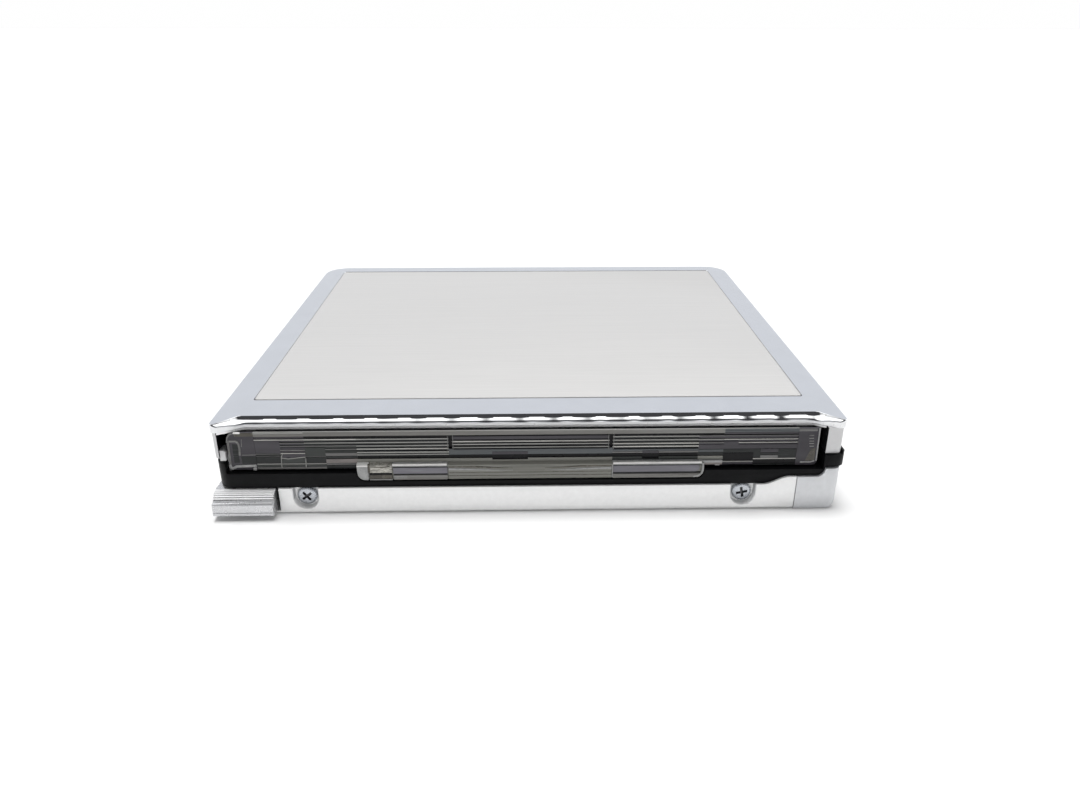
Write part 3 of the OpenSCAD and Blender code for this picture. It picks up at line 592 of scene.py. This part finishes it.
def side_wall(side):
    s = Shape()
    rear = [20.0, 40.0, 60.0, 68.5, 69.0, 69.3, 69.6, 69.9, 70.15, 70.35, 70.46]
    if side > 0:
        ys = [0.4, 0.43, 0.48, 0.55, 0.64, 0.74, 0.85, 1.4, 2.1, 2.2, 2.201, 2.3, 6.0] + rear
        inner = lambda y: 36.91 if y <= 2.2 else 37.81
    else:
        ys = [0.4, 0.43, 0.48, 0.55, 0.64, 0.74, 0.85, 1.4, 2.1, 5.9, 6.0, 6.001, 6.1] + rear
        inner = lambda y: 38.36 if y <= 6.0 else 37.81
    rings = []
    for i, y in enumerate(ys):
        g = 0.05 * max(0.0, 1.0 - i / 2.0)
        xo, xi, zb, zt = wall_out(y) - g, inner(y) + g, wall_foot(y) + g, 11.06
        xi = min(xi, xo - 0.04)
        c = min(0.2, (xo - xi) * 0.4)
        sec = [(xi, zt), (xi, zb + 0.06), (xi + min(0.06, c), zb), (xo - c, zb), (xo - c * 0.3, zb + c * 0.3), (xo, zb + c), (xo, zt)]
        rings.append([(side * x, y, z) for x, z in sec])
    s.loft(rings, 0, True, True, True)
    # the inner flanks are black: painted shade for the dark gap between the wall and the window
    n = len(rings[0])
    for i in range(1, len(rings) - 1):
        s.m[i * n] = 1
    return s


piece("lid_wall_right", side_wall(1), ["rail_paint", "black_resin"], "lid", ("lid_rail_right",), 30)
piece("lid_wall_left", side_wall(-1), ["rail_paint", "black_resin"], "lid", ("lid_rail_left",), 30)

s = Shape()
prism(s, "y", rrect(-34.6, 34.6, 9.15, 11.05, (0.5, 0.5, 0, 0)), 71.8, 72.4, 0.05, 0.16)
piece("lid_skirt", s, ["rail_paint"], "lid", ("lid_rear_skirt",))

s = Shape()
prism(s, "y", rrect(-38.4, -37.62, 7.08, 8.55, (0.1, 0.15, 0.3, 0.02)), 0.5, 2.2, 0.1, 0.05)
prism(s, "y", rrect(-37.72, -37.4, 4.3, 7.6, 0.06), 1.2, 2.0, 0.06)
piece("lid_claw", s, ["rail_paint"], "lid", ("lid_hook",))


# ---------------------------------------------------------------- smoked front window
WIN = ["window_face", "window_green", "window_deep", "window_dark", "window_blue", "window_line", "window_mid", "window_dim", "window_band",
       "window_glint", "window_grey", "window_mauve", "window_olive", "window_rose", "window_umber", "window_foil", "window_moss"]
FACE, GREEN, DEEP, DARK, BLUE, LINE, MID, DIM, BAND, GLINT, GREY, MAUVE, OLIVE, ROSE, UMBER, FOIL, MOSS = range(17)
FOOT = [(6.56, 6.42, 0.76, MID), (6.40, 6.10, 0.81, GREEN), (6.07, 5.78, 0.75, DIM)]


def ribbed(s, x0, x1, rows):
    """One stretch of the window; rows of (top, bottom, set-back, finish) from the top band down."""
    p = [(0.95, 10.89, MID), (0.80, 10.88, MID)]
    for z0, z1, y, m in rows:
        # each row: its finish on the chamfer and face, then a near-black step down to the next row, painted shade
        # between the bands
        p += [(y + 0.045, z0, m), (y, z0 - 0.04, m), (y, z1, DARK)]
    # behind its front the stretch is near black, painted shade in the gap under the lip
    p += [(0.84, 5.70, DARK), (2.2, 5.70, DARK), (2.2, 10.58, DARK), (0.95, 10.58, DARK)]
    base, n = len(s.v), len(p)
    for x in (x0, x1):
        s.v += [(x, y, z) for y, z, _ in p]
    for j in range(n):
        k = (j + 1) % n
        s.f.append((base + j, base + k, base + n + k, base + n + j))
        s.m.append(p[j][2])
    s.f.append(tuple(base + j for j in reversed(range(n))))
    s.f.append(tuple(base + n + j for j in range(n)))
    s.m += [DARK, DARK]


def blk(s, x0, x1, z0, z1, y0, y1, mat, r=0.06, b=0.04):
    prism(s, "y", rrect(x0, x1, z0, z1, r), y0, y1, b, 0.0, mat)


def ridge(s, path, half, y0, mat, y1=0.82, b=0.02):
    prism(s, "y", strip(path, half), y0, y1, b, 0, mat)


def ribs(tops, width, between, finish, y=0.745):
    """Fine ribs: their tops take the given lighter finishes, painted highlights along the rib edges, and the gaps below
    each of them a darker finish, painted shade.
    """
    out = []
    for i, (z, m) in enumerate(zip(tops, finish)):
        z_end = (tops[i + 1] + width / 2 + 0.03) if i + 1 < len(tops) else z - width / 2 - 0.2
        out += [(z + width / 2, z - width / 2, y, m), (z - width / 2 - 0.02, z_end, 0.88, between)]
    return out


def window():
    s = Shape()
    head = [(10.86, 10.62, 0.735, MID), (10.60, 10.28, 0.75, BAND), (10.24, 9.95, 0.87, FACE)]
    full = [(10.86, 10.30, 0.74, BAND), (10.24, 9.96, 0.89, DARK)]
    low = [(7.52, 7.14, 0.93, DARK)]
    # left stretches
    ribbed(s, -34.0, -30.9, head + [(9.90, 9.77, 0.74, LINE), (9.72, 7.97, 0.80, FACE), (7.93, 7.83, 0.77, DIM), (7.79, 7.64, 0.85, DEEP),
                                   (7.62, 7.55, 0.78, DIM), (7.51, 6.62, 0.82, DEEP)] + FOOT)
    ribbed(s, -30.9, -27.9, head + ribs((9.83, 9.38, 8.97), 0.12, FACE, (LINE, DIM, DIM)) + [(8.70, 8.46, 0.80, FACE), (8.43, 8.34, 0.74, MID),
                                   (8.30, 8.05, 0.82, FACE), (8.02, 7.90, 0.72, LINE), (7.86, 7.36, 0.76, FACE), (7.34, 6.62, 0.79, GREEN)] + FOOT)
    ribbed(s, -27.9, -25.4, full + ribs((9.83, 9.38, 8.97), 0.14, GREEN, (LINE, MID, DIM)) + [(8.70, 7.58, 0.80, GREEN), (7.55, 7.48, 0.77, DIM),
                                   (7.44, 6.62, 0.82, DEEP)] + FOOT)
    ribbed(s, -25.4, -21.5, full + ribs((9.83, 9.38, 8.97, 8.50), 0.15, GREEN, (LINE, MID, DIM, DIM)) + [(8.20, 8.0, 0.82, GREEN), (7.96, 7.56, 0.77, DIM),
                                   (7.52, 7.16, 0.86, DEEP), (7.12, 6.58, 0.75, ROSE), (6.54, 6.3, 0.78, DIM), (6.26, 5.78, 0.78, DEEP)])
    ribbed(s, -21.5, -10.12, full + ribs((9.83, 9.38, 8.93, 8.49), 0.17, DEEP, (MID, MID, MID, LINE)) + [(8.09, 7.90, 0.75, MID), (7.88, 7.78, 0.86, GREEN),
                                   (7.76, 7.58, 0.76, MID)] + low + [(7.10, 6.55, 0.76, OLIVE), (6.5, 5.78, 0.85, DEEP)])
    post = [(10.86, 10.30, 0.74, BAND), (10.22, 8.44, 1.1, DARK), (8.40, 7.58, 0.78, BLUE)] + low + [(7.10, 6.5, 0.76, OLIVE), (6.4, 5.78, 0.85, DEEP)]
    ribbed(s, -10.12, -9.68, post)
    # centre
    mid_top = full[:1] + [(10.27, 10.14, 0.89, DARK), (10.10, 9.68, 0.80, FACE)]
    mid_ribs = ribs((9.40, 9.02, 8.58), 0.16, DARK, (LINE, MID, MID))[:-1] + [(8.46, 8.36, 0.89, DARK)]
    mid_foot = [(7.10, 6.5, 0.74, OLIVE), (6.4, 5.78, 0.85, DEEP)]
    ribbed(s, -9.68, -4.75, mid_top + mid_ribs + [(8.30, 7.58, 0.78, BLUE)] + low + mid_foot)
    ribbed(s, -4.75, -0.3, mid_top + mid_ribs + [(8.30, 7.96, 0.78, BLUE), (7.94, 7.56, 0.78, FACE), (7.5, 6.92, 0.95, DARK), (6.88, 6.5, 0.74, OLIVE), (6.4, 5.78, 0.85, DEEP)])
    ribbed(s, -0.3, 9.82, mid_top + mid_ribs + [(8.30, 7.58, 0.78, BLUE)] + low + mid_foot)
    ribbed(s, 9.82, 10.26, post)
    # right stretches
    r_ribs = ribs((9.91, 9.43, 8.95, 8.53), 0.17, DEEP, (MID, MID, LINE, LINE))[:-1] + [(8.42, 8.18, 0.88, DARK)]
    r_foot = [(7.10, 6.6, 0.80, GREEN), (6.5, 5.78, 0.85, DEEP)]
    ribbed(s, 10.26, 14.0, full + r_ribs + [(8.14, 7.84, 0.78, BLUE), (7.82, 7.62, 0.765, DIM)] + low + r_foot)
    ribbed(s, 14.0, 16.1, full + r_ribs + [(8.14, 7.94, 0.78, BLUE), (7.92, 7.56, 0.79, FACE), (7.5, 6.82, 0.95, DARK), (6.78, 6.6, 0.80, GREEN), (6.5, 5.78, 0.85, DEEP)])
    ribbed(s, 16.1, 21.0, full + r_ribs + [(8.14, 7.84, 0.78, BLUE), (7.82, 7.62, 0.765, DIM)] + low + r_foot)
    ribbed(s, 21.0, 24.15, full + ribs((9.91, 9.41, 8.97), 0.14, FACE, (DIM, MID, DIM)) + [(8.70, 8.06, 0.80, FACE), (8.02, 7.66, 0.78, BLUE), (7.6, 7.16, 0.88, DEEP),
                                  (7.12, 6.66, 0.76, OLIVE), (6.6, 5.9, 0.80, DEEP)])
    # the right stretches' top bands are darker and bluer: painted shade, as less light reaches the right of the window
    shaded_head = [(10.86, 10.66, 0.745, BLUE), (10.64, 10.40, 0.755, BLUE), (10.36, 10.06, 0.87, FACE)]
    r_lines = ribs((9.91, 9.41, 8.96), 0.11, FACE, (DIM, LINE, LINE)) + [(8.68, 8.06, 0.80, FACE)]
    ribbed(s, 24.15, 26.0, shaded_head + ribs((9.91, 9.41), 0.11, FACE, (DIM, LINE)) + [(9.12, 8.06, 0.80, FACE), (8.02, 7.5, 0.84, DEEP), (7.46, 6.44, 0.86, DARK),
                                  (6.38, 6.25, 0.72, MID), (6.22, 5.9, 0.76, FACE)])
    ribbed(s, 26.0, 28.0, shaded_head + r_lines + [(8.02, 7.5, 0.84, DEEP), (7.46, 6.44, 0.86, DARK), (6.38, 6.25, 0.72, MID), (6.22, 5.9, 0.76, FACE)])
    tail = [(6.72, 6.61, 0.74, LINE), (6.56, 5.96, 0.88, DARK), (5.93, 5.78, 0.78, DEEP)]
    ribbed(s, 28.0, 28.9, shaded_head + r_lines + [(8.02, 6.76, 0.84, DEEP)] + tail)
    ribbed(s, 28.9, 31.1, shaded_head + r_lines + [(8.02, 7.52, 0.79, FACE), (7.48, 7.18, 0.84, DEEP), (7.14, 6.76, 0.76, DIM)] + tail)
    ribbed(s, 31.1, 33.4, shaded_head + r_lines + [(8.02, 6.76, 0.84, DEEP)] + tail)
    for x in (-10.22, -9.58, 9.72, 10.36):
        ridge(s, [(x, 8.2), (x, 10.24)], 0.04, 0.73, DIM, 0.9)
    # left end: plain, rounded, with its moulded bracket
    prism(s, "y", rrect(-37.4, -34.0, 5.70, 10.88, (0.5, 0, 0, 1.1)), 0.76, 0.95, 0.08, 0.02, FACE)
    prism(s, "y", rrect(-37.3, -34.0, 5.75, 10.56, (0.5, 0, 0, 1.0)), 0.94, 2.2, 0.0, 0.05, DARK)
    prism(s, "y", rrect(-36.3, -34.0, 10.34, 10.80, (0.1, 0, 0, 0.2)), 0.74, 0.8, 0.02, 0, UMBER)
    # a small bright spot on the top-left corner: painted highlight
    prism(s, "y", rrect(-36.42, -35.55, 10.70, 10.89, 0.09), 0.70, 0.86, 0.04, 0, GLINT)
    ridge(s, [(-37.33, 9.5), (-37.2, 10.2), (-36.9, 10.6), (-36.5, 10.72)], 0.09, 0.72, DIM)
    ridge(s, [(-37.26, 6.4), (-37.18, 9.2), (-37.1, 9.62), (-36.95, 9.74), (-36.25, 9.74), (-36.02, 9.62), (-35.92, 9.35), (-35.88, 8.6), (-35.97, 7.75)], 0.13, 0.70, DIM)
    ridge(s, [(-37.0, 9.66), (-36.25, 9.66), (-36.0, 9.5)], 0.06, 0.69, MID)
    ridge(s, [(-35.6, 8.9), (-35.48, 9.95)], 0.05, 0.735, DIM)
    prism(s, "y", [(-36.78, 6.7), (-36.1, 6.7), (-36.06, 9.25), (-36.74, 9.3)], 0.735, 0.8, 0.03, 0, DEEP)
    ridge(s, [(-37.34, 6.5), (-37.3, 6.1), (-37.1, 5.93), (-36.85, 6.02), (-36.55, 6.22), (-34.1, 6.30)], 0.17, 0.69, GREY)
    blk(s, -34.52, -34.08, 5.66, 6.1, 0.60, 0.9, GREY, 0.15, 0.06)
    ridge(s, [(-35.7, 7.78), (-34.0, 7.80)], 0.05, 0.735, DIM)
    prism(s, "y", [(-35.8, 6.55), (-34.0, 6.55), (-34.0, 7.6), (-35.85, 7.6)], 0.745, 0.8, 0.02, 0, DEEP)
    # framed patch
    ridge(s, [(-30.98, 5.95), (-30.9, 7.42), (-30.72, 7.9)], 0.05, 0.69, MID)
    ridge(s, [(-30.9, 7.36), (-30.1, 7.22), (-27.9, 7.46)], 0.06, 0.69, MID)
    ridge(s, [(-27.98, 5.95), (-27.9, 7.24)], 0.055, 0.70, MID)
    # right end with its stacked ticks and clear edge
    prism(s, "y", rrect(33.4, 36.1, 5.70, 10.89, (0, 0.5, 0.05, 0)), 0.76, 0.95, 0.07, 0.02, FACE)
    prism(s, "y", rrect(33.4, 36.05, 5.75, 10.56, (0, 0.5, 0.05, 0)), 0.94, 2.2, 0.0, 0.05, DARK)
    for k, z in enumerate((8.37, 8.75, 9.08, 9.48, 9.89)):
        ridge(s, [(34.92 - 0.05 * k, z), (35.5 - 0.05 * k, z)], 0.045, 0.70, MID)
    ridge(s, [(36.02, 6.3), (35.93, 10.86)], 0.085, 0.70, GREY, 0.9)
    prism(s, "y", [(34.6, 6.3), (35.8, 6.3), (35.75, 8.1), (35.2, 8.0), (34.9, 7.2)], 0.745, 0.8, 0.02, 0, UMBER)
    ridge(s, [(34.0, 6.14), (35.3, 6.14), (35.8, 6.3)], 0.08, 0.70, GREY)
    blk(s, 33.4, 35.7, 10.44, 10.82, 0.74, 0.8, DIM, 0.05)
    # tongue: clear foot of the window
    blk(s, -21.62, 21.84, 4.37, 6.46, 0.36, 1.25, OLIVE, (1.0, 1.0, 0.2, 0.2), 0.06)
    ledge = [(0.76, 6.64), (0.17, 6.47), (0.13, 6.42), (0.13, 6.30), (0.76, 6.30)]
    # the bright strips on the ledge here and just below are a painted highlight
    for x0, x1, m in ((-21.62, -20.15, GLINT), (-17.2, -10.34, GREY), (10.3, 21.55, GREY), (-20.1, -17.25, FOIL), (-10.3, 10.26, OLIVE)):
        prism(s, "x", ledge, x0, x1, 0.03, None, m)
    for x0, x1 in ((-17.2, -10.4), (10.35, 21.45)):
        prism(s, "x", [(0.34, 6.60), (0.18, 6.58), (0.14, 6.53), (0.13, 6.44), (0.34, 6.44)], x0, x1, 0.03, None, GLINT)
    blk(s, -21.62, -20.2, 4.37, 6.33, 0.12, 0.4, GREY, (1.0, 0.1, 0.1, 0.15), 0.12)
    blk(s, -20.1, -17.25, 5.40, 6.26, 0.17, 0.4, FOIL, 0.08, 0.06)
    blk(s, -20.1, -17.25, 4.54, 5.12, 0.19, 0.4, UMBER, 0.08, 0.06)
    blk(s, -20.1, -17.25, 4.38, 4.52, 0.15, 0.4, GREY, 0.04, 0.03)
    blk(s, -20.25, -19.98, 5.5, 6.62, 0.11, 0.4, UMBER, 0.03, 0.02)
    ridge(s, [(-19.9, 6.30), (-19.2, 6.26), (-18.4, 6.22), (-17.5, 6.34)], 0.09, 0.13, UMBER, 0.3)
    blk(s, -20.1, -17.3, 5.14, 5.38, 0.2, 0.4, DARK, 0.03, 0.02)
    blk(s, -17.12, -10.36, 6.10, 6.30, 0.20, 0.4, DEEP, 0.05)
    blk(s, -17.12, -10.36, 5.24, 6.08, 0.21, 0.4, MAUVE, 0.05)
    blk(s, -17.12, -10.36, 5.08, 5.22, 0.27, 0.4, DEEP, 0.03, 0.02)
    blk(s, -17.12, -10.36, 4.40, 5.06, 0.15, 0.4, BAND, 0.12, 0.06)
    ridge(s, [(-17.1, 4.96), (-15.4, 4.96)], 0.05, 0.13, GREY, 0.3)
    ridge(s, [(-17.1, 4.70), (-15.4, 4.70)], 0.05, 0.13, GREY, 0.3)
    # centre of the tongue: a shallow lens, with a dark curve of painted shade and a light curve of painted highlight at
    # either end
    blk(s, -10.25, 10.2, 4.40, 6.28, 0.22, 0.4, OLIVE, 0.12, 0.08)
    for sx, xe, xi in ((-1, -10.2, -2.2), (1, 10.15, 1.8)):
        q = [lerp(xe, xi, k / 8) for k in range(9)]
        dark = [(x, 6.26 - 0.30 * smooth01(k / 8.0)) for k, x in enumerate(q)]
        lite = [(x, 5.84 - 0.20 * smooth01(k / 8.0)) for k, x in enumerate(q)]
        for path, w0, m, y in ((dark, 0.17, UMBER, 0.175), (lite, 0.13, GREY, 0.17)):
            up_ = [(x, z + w0 * (1 - k / 8.0) + 0.012) for k, (x, z) in enumerate(path)]
            dn_ = [(x, z - w0 * (1 - k / 8.0) - 0.012) for k, (x, z) in enumerate(path)]
            prism(s, "y", up_ + dn_[::-1], y, 0.3, 0.008, 0, m)
    for z in (5.34, 4.90):
        ridge(s, [(-10.2, z), (10.15, z + 0.02)], 0.04, 0.195, UMBER, 0.3)
    prism(s, "y", [(-5.5, 5.86), (-3.0, 5.4), (-1.0, 5.2), (1.0, 5.2), (3.0, 5.42), (5.0, 5.9), (3.0, 6.16), (1.0, 6.24), (-1.0, 6.24), (-3.2, 6.16)], 0.2, 0.3, 0.01, 0, MOSS)
    # right part of the tongue
    blk(s, 10.3, 21.45, 6.12, 6.30, 0.20, 0.4, DEEP, 0.05)
    blk(s, 10.3, 21.25, 5.18, 6.10, 0.25, 0.4, MAUVE, (0.1, 0.5, 0.3, 0.1), 0.05)
    blk(s, 10.3, 21.45, 5.02, 5.16, 0.27, 0.4, DEEP, 0.03, 0.02)
    blk(s, 10.3, 21.55, 4.40, 5.00, 0.13, 0.4, BAND, (0.1, 0.5, 0.1, 0.1), 0.08)
    ridge(s, [(20.5, 4.53), (21.1, 4.61), (21.52, 4.95), (21.66, 5.4), (21.64, 6.35)], 0.13, 0.12, GREY, 0.4, 0.05)
    ridge(s, [(10.28, 4.5), (10.28, 6.3)], 0.07, 0.16, GREY, 0.4)
    blk(s, 21.6, 24.1, 6.0, 6.6, 0.5, 0.9, ROSE, 0.1, 0.05)
    prism(s, "x", [(0.9, 6.62), (0.52, 6.6), (0.48, 6.54), (0.48, 6.3), (0.9, 6.3)], 21.3, 24.1, 0.03, None, GREY)
    blk(s, 23.2, 23.8, 5.86, 6.1, 0.52, 0.9, GREY, 0.1, 0.05)
    return s


piece("front_window", window(), WIN, "lid", ("lid_window",), 25)


# ---------------------------------------------------------------- thumb slider
def slider():
    s = Shape()
    p = [(0.6, 3.35), (0.12, 3.35)]
    for i in range(5):
        for b, r in ((0.2, 1.66), (0.8, 1.80), (1.8, 1.845), (3.4, 1.86), (5.0, 1.845), (6.0, 1.80), (6.6, 1.66), (7.0, 1.60), (9.6, 1.60)):
            b = math.radians(2.0 + 10.0 * i + b)
            p.append((-r * math.sin(b), 1.5 + r * math.cos(b)))
    p += [(-1.30, 2.50), (-1.33, 2.37), (-1.62, 2.34), (-1.79, 2.28), (-1.88, 2.18), (-1.915, 2.05), (-1.94, 1.30), (-1.935, 1.20), (-1.86, 1.14),
          (-1.86, 1.05), (-1.92, 0.99), (-1.93, 0.78), (-1.88, 0.62), (-1.76, 0.53), (-1.6, 0.5), (0.6, 0.5)]
    prism(s, "x", p, -39.48, -31.97, 0.05, None, 1)
    for i, f in enumerate(s.f):  # rib crests in a painted highlight, grooves in painted shade
        y, z = (sum(s.v[k][a] for k in f) / len(f) for a in (1, 2))
        if z > 2.45 and y < 0.1 and len(f) == 4:
            s.m[i] = 0 if math.hypot(y, z - 1.5) > 1.70 else 2
    prism(s, "x", rrect(0.4, 4.6, 0.5, 3.35, 0.35), -39.48, -37.4, 0.14, 0.02, 1)
    prism(s, "x", rrect(0.4, 8.8, 0.98, 3.34, 0.1), -37.5, -32.1, 0.06, None, 1)
    prism(s, "x", rrect(2.45, 3.2, 3.3, 4.5, 0.08), -37.65, -37.25, 0.05, None, 1)
    return s


piece("thumb_slider", slider(), ["slider_crest_highlight", "slider_chrome", "slider_groove_shade"], "open_slider", ("open_slider",), 30)


# ---------------------------------------------------------------- latch spring behind the slider
def coil():
    s, rings = Shape(), []
    turns, per, k, w, rc = 5, 26, 10, 0.155, 0.95
    for i in range(turns * per + 1):
        a, y = 2 * math.pi * i / per, lerp(9.01, 12.79, i / (turns * per))
        ring = []
        for j in range(k):
            b = 2 * math.pi * j / k
            r = rc + w * math.cos(b)
            ring.append((-35.0 + r * math.cos(a), y + w * math.sin(b), 2.1 + r * math.sin(a)))
        rings.append(ring)
    s.loft(rings, 0, True, True, True)
    return s


spring = piece("latch_spring", coil(), ["bright_steel"], "base", ("slider_spring",))
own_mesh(spring)


# ---------------------------------------------------------------- front screws
def turned(s, x, z, prof, mat=0, n=40):
    rings = []
    for r, y in prof:
        rings.append([(x + r * math.cos(2 * math.pi * k / n), y, z + r * math.sin(2 * math.pi * k / n)) for k in range(n)])
    s.loft(rings, mat, True, True, True)


def cross(x, z, turn, arm=0.72, half=0.17):
    q = [(half, half), (half, arm), (-half, arm), (-half, half), (-arm, half), (-arm, -half), (-half, -half), (-half, -arm),
         (half, -arm), (half, -half), (arm, -half), (arm, half)]
    c, t = math.cos(math.radians(turn)), math.sin(math.radians(turn))
    return [(x + c * a - t * b, z + t * a + c * b) for a, b in q]


def front_screws():
    s, cuts = Shape(), []
    for x, turn in ((-28.2, 38.0), (26.9, 12.0)):
        turned(s, x, 2.15, [(0.05, 0.225), (0.55, 0.235), (0.92, 0.27), (1.12, 0.33), (1.22, 0.42), (1.25, 0.52), (1.25, 1.08), (0.62, 1.1), (0.6, 4.0)])
        c = Shape()
        # the cross recess takes the near-black screw finish: painted shade
        prism(c, "y", cross(x, 2.15, turn), -0.1, 0.67, 0.0, 0.1, 1)
        cuts.append(c)
    return carved("front_screws_finish", s, cuts)


piece("front_screw_pair", front_screws(), ["screw_steel", "screw_recess_shade"], "base", ("front_screws",), 30)


# ---------------------------------------------------------------- case, frame, door and controls with rounded edges
softened("bottom_case", "silver_paint", 0.10, foot=0.3, rims=((-28.2, 2.15), (26.9, 2.15)), forward=0.33, tuck=4.0)
softened("mid_frame", "black_resin", 0.10)
softened("battery_door", "door_paint", 0.12, foot=0.3, forward=0.33)
softened("window_retainer", "bar_silver", 0.03)
for key in ("key_play", "key_back", "key_next"):
    softened(key, "key_silver", 0.12)
softened("hold_switch", "black_resin", 0.07)
softened("headphone_jack", "black_resin", 0.08)

DONE = {"slider_spring", "lid_frame", "lid_panel", "lid_rail_right", "lid_rail_left", "lid_rear_skirt", "lid_hook", "lid_window", "window_retainer", "open_slider", "front_screws",
        "bottom_case", "mid_frame", "battery_door", "key_play", "key_back", "key_next", "hold_switch", "headphone_jack"}


# ---------------------------------------------------------------- camera, floor, light
def camera():
    yaw, pitch, roll = (math.radians(a) for a in (-1.20468394, 24.2785167, 0.062268))
    right = Vector((math.cos(yaw), math.sin(yaw), 0.0))
    fwd = Vector((-math.sin(yaw) * math.cos(pitch), math.cos(yaw) * math.cos(pitch), -math.sin(pitch)))
    up = right.cross(fwd)
    r2 = math.cos(roll) * right + math.sin(roll) * up
    u2 = -math.sin(roll) * right + math.cos(roll) * up
    cam = bpy.data.cameras.new("camera")
    cam.sensor_fit = "HORIZONTAL"
    cam.sensor_width = 36.0
    cam.lens = 842.0 / 1080.0 * 36.0
    cam.clip_start = 0.005
    cam.clip_end = 50.0
    o = bpy.data.objects.new("camera", cam)
    m = Matrix((r2, u2, -fwd)).transposed().to_4x4()
    m.translation = Vector((-0.76238, -128.71146, 56.34189)) * MM
    o.matrix_world = m
    scene.collection.objects.link(o)
    scene.camera = o


camera()


def floor():
    """A pale floor, flat under the part and far around it."""
    m, nt, bsdf = tree("pale_floor")
    link(nt, ramp(nt, noise(nt, (9.0, 9.0, 9.0), 2.0), [(0.3, (0.86, 0.86, 0.86)), (0.7, (0.88, 0.88, 0.88))]), bsdf.inputs["Base Color"])
    bsdf.inputs["Roughness"].default_value = 0.6
    bsdf.inputs["Specular IOR Level"].default_value = 0.0
    me = bpy.data.meshes.new("floor")
    prof = [(-4.0, 0.0), (-1.0, 0.0), (1.0, 0.0), (12.0, 0.0)]
    v = [(x, y, z - 0.00002) for y, z in prof for x in (-9.0, 9.0)]
    me.from_pydata(v, [], [(2 * i, 2 * i + 1, 2 * i + 3, 2 * i + 2) for i in range(len(prof) - 1)])
    me.materials.append(m)
    for p in me.polygons:
        p.use_smooth = True
    o = bpy.data.objects.new("floor", me)
    scene.collection.objects.link(o)


floor()


def world():
    w = bpy.data.worlds.new("studio")
    scene.world = w
    w.use_nodes = True
    nt = w.node_tree
    bg = nt.nodes["Background"]
    tc = nt.nodes.new("ShaderNodeTexCoord")
    sep = nt.nodes.new("ShaderNodeSeparateXYZ")
    link(nt, tc.outputs["Generated"], sep.inputs[0])
    up = nt.nodes.new("ShaderNodeMath")
    up.operation = "MAXIMUM"
    up.inputs[1].default_value = 0.0001
    link(nt, sep.outputs["Z"], up.inputs[0])
    neg = nt.nodes.new("ShaderNodeMath")
    neg.operation = "MULTIPLY"
    neg.inputs[1].default_value = -1.0
    link(nt, sep.outputs["Y"], neg.inputs[0])
    arc = nt.nodes.new("ShaderNodeMath")
    arc.operation = "ARCTAN2"
    link(nt, up.outputs[0], arc.inputs[0])
    link(nt, neg.outputs[0], arc.inputs[1])
    over = spread(nt, arc.outputs[0], 0.0, 1.0, 0.0, math.pi)  # 0 front horizon, 0.5 overhead, 1 rear horizon
    hall = ramp(nt, over, [(0.0, (0.55, 0.55, 0.56)), (0.05, (0.21, 0.212, 0.22)), (0.165, (0.21, 0.212, 0.22)), (0.20, (0.035, 0.035, 0.037)), (0.50, (0.03, 0.03, 0.032)), (0.56, (1.0, 1.0, 1.0)),
                           (0.66, (1.0, 1.0, 1.0)), (0.74, (0.44, 0.45, 0.47)), (0.93, (0.44, 0.45, 0.47)), (0.985, (0.56, 0.56, 0.56))])
    sides = ramp(nt, over, [(0.0, (0.30, 0.30, 0.31)), (0.35, (0.25, 0.25, 0.26)), (0.5, (1.0, 1.0, 1.0)), (0.66, (1.0, 1.0, 1.0)),
                            (0.74, (0.44, 0.45, 0.47)), (0.93, (0.44, 0.45, 0.47)), (0.985, (0.56, 0.56, 0.56))])
    wide = nt.nodes.new("ShaderNodeMath")
    wide.operation = "ABSOLUTE"
    link(nt, sep.outputs["X"], wide.inputs[0])
    mix = nt.nodes.new("ShaderNodeMix")
    mix.data_type = "RGBA"
    link(nt, spread(nt, wide.outputs[0], 0.0, 1.0, 0.42, 0.72), mix.inputs["Factor"])
    link(nt, hall, mix.inputs["A"])
    link(nt, sides, mix.inputs["B"])
    # matt surfaces get their light from overhead and low in front, so no side of the case burns out
    soft = ramp(nt, over, [(0.0, (0.80, 0.80, 0.80)), (0.10, (0.80, 0.80, 0.80)), (0.17, (0.06, 0.06, 0.06)), (0.47, (0.06, 0.06, 0.06)),
                           (0.54, (0.9, 0.9, 0.9)), (0.62, (0.9, 0.9, 0.9)), (0.70, (0.15, 0.15, 0.15)), (1.0, (0.06, 0.06, 0.06))])
    path = nt.nodes.new("ShaderNodeLightPath")
    pick = nt.nodes.new("ShaderNodeMix")
    pick.data_type = "RGBA"
    link(nt, path.outputs["Is Diffuse Ray"], pick.inputs["Factor"])
    link(nt, mix.outputs["Result"], pick.inputs["A"])
    link(nt, soft, pick.inputs["B"])
    plain = nt.nodes.new("ShaderNodeMix")  # the backdrop itself is plain white
    plain.data_type = "RGBA"
    plain.inputs["B"].default_value = (0.57, 0.57, 0.57, 1.0)
    link(nt, path.outputs["Is Camera Ray"], plain.inputs["Factor"])
    link(nt, pick.outputs["Result"], plain.inputs["A"])
    link(nt, plain.outputs["Result"], bg.inputs["Color"])
    bg.inputs["Strength"].default_value = 1.75


world()


def sun(name, toward, wide, strength):
    """A broad, even light from high up; toward points from the part to the light."""
    l = bpy.data.lights.new(name, "SUN")
    l.energy = strength
    l.angle = math.radians(wide)
    o = bpy.data.objects.new(name, l)
    o.rotation_euler = Vector(toward).to_track_quat("Z", "Y").to_euler()
    scene.collection.objects.link(o)
    return o


key = sun("soft_top", (-0.06, 0.18, 0.97), 32.0, 2.6)
key.visible_glossy = False

scene.view_settings.view_transform = "Standard"
scene.view_settings.look = "None"

# ---------------------------------------------------------------- finishes of the carried-over parts
for node in NODES:
    if node not in DONE:
        slot = NODES[node].data.materials[0].name
        finish_node(node, slot)

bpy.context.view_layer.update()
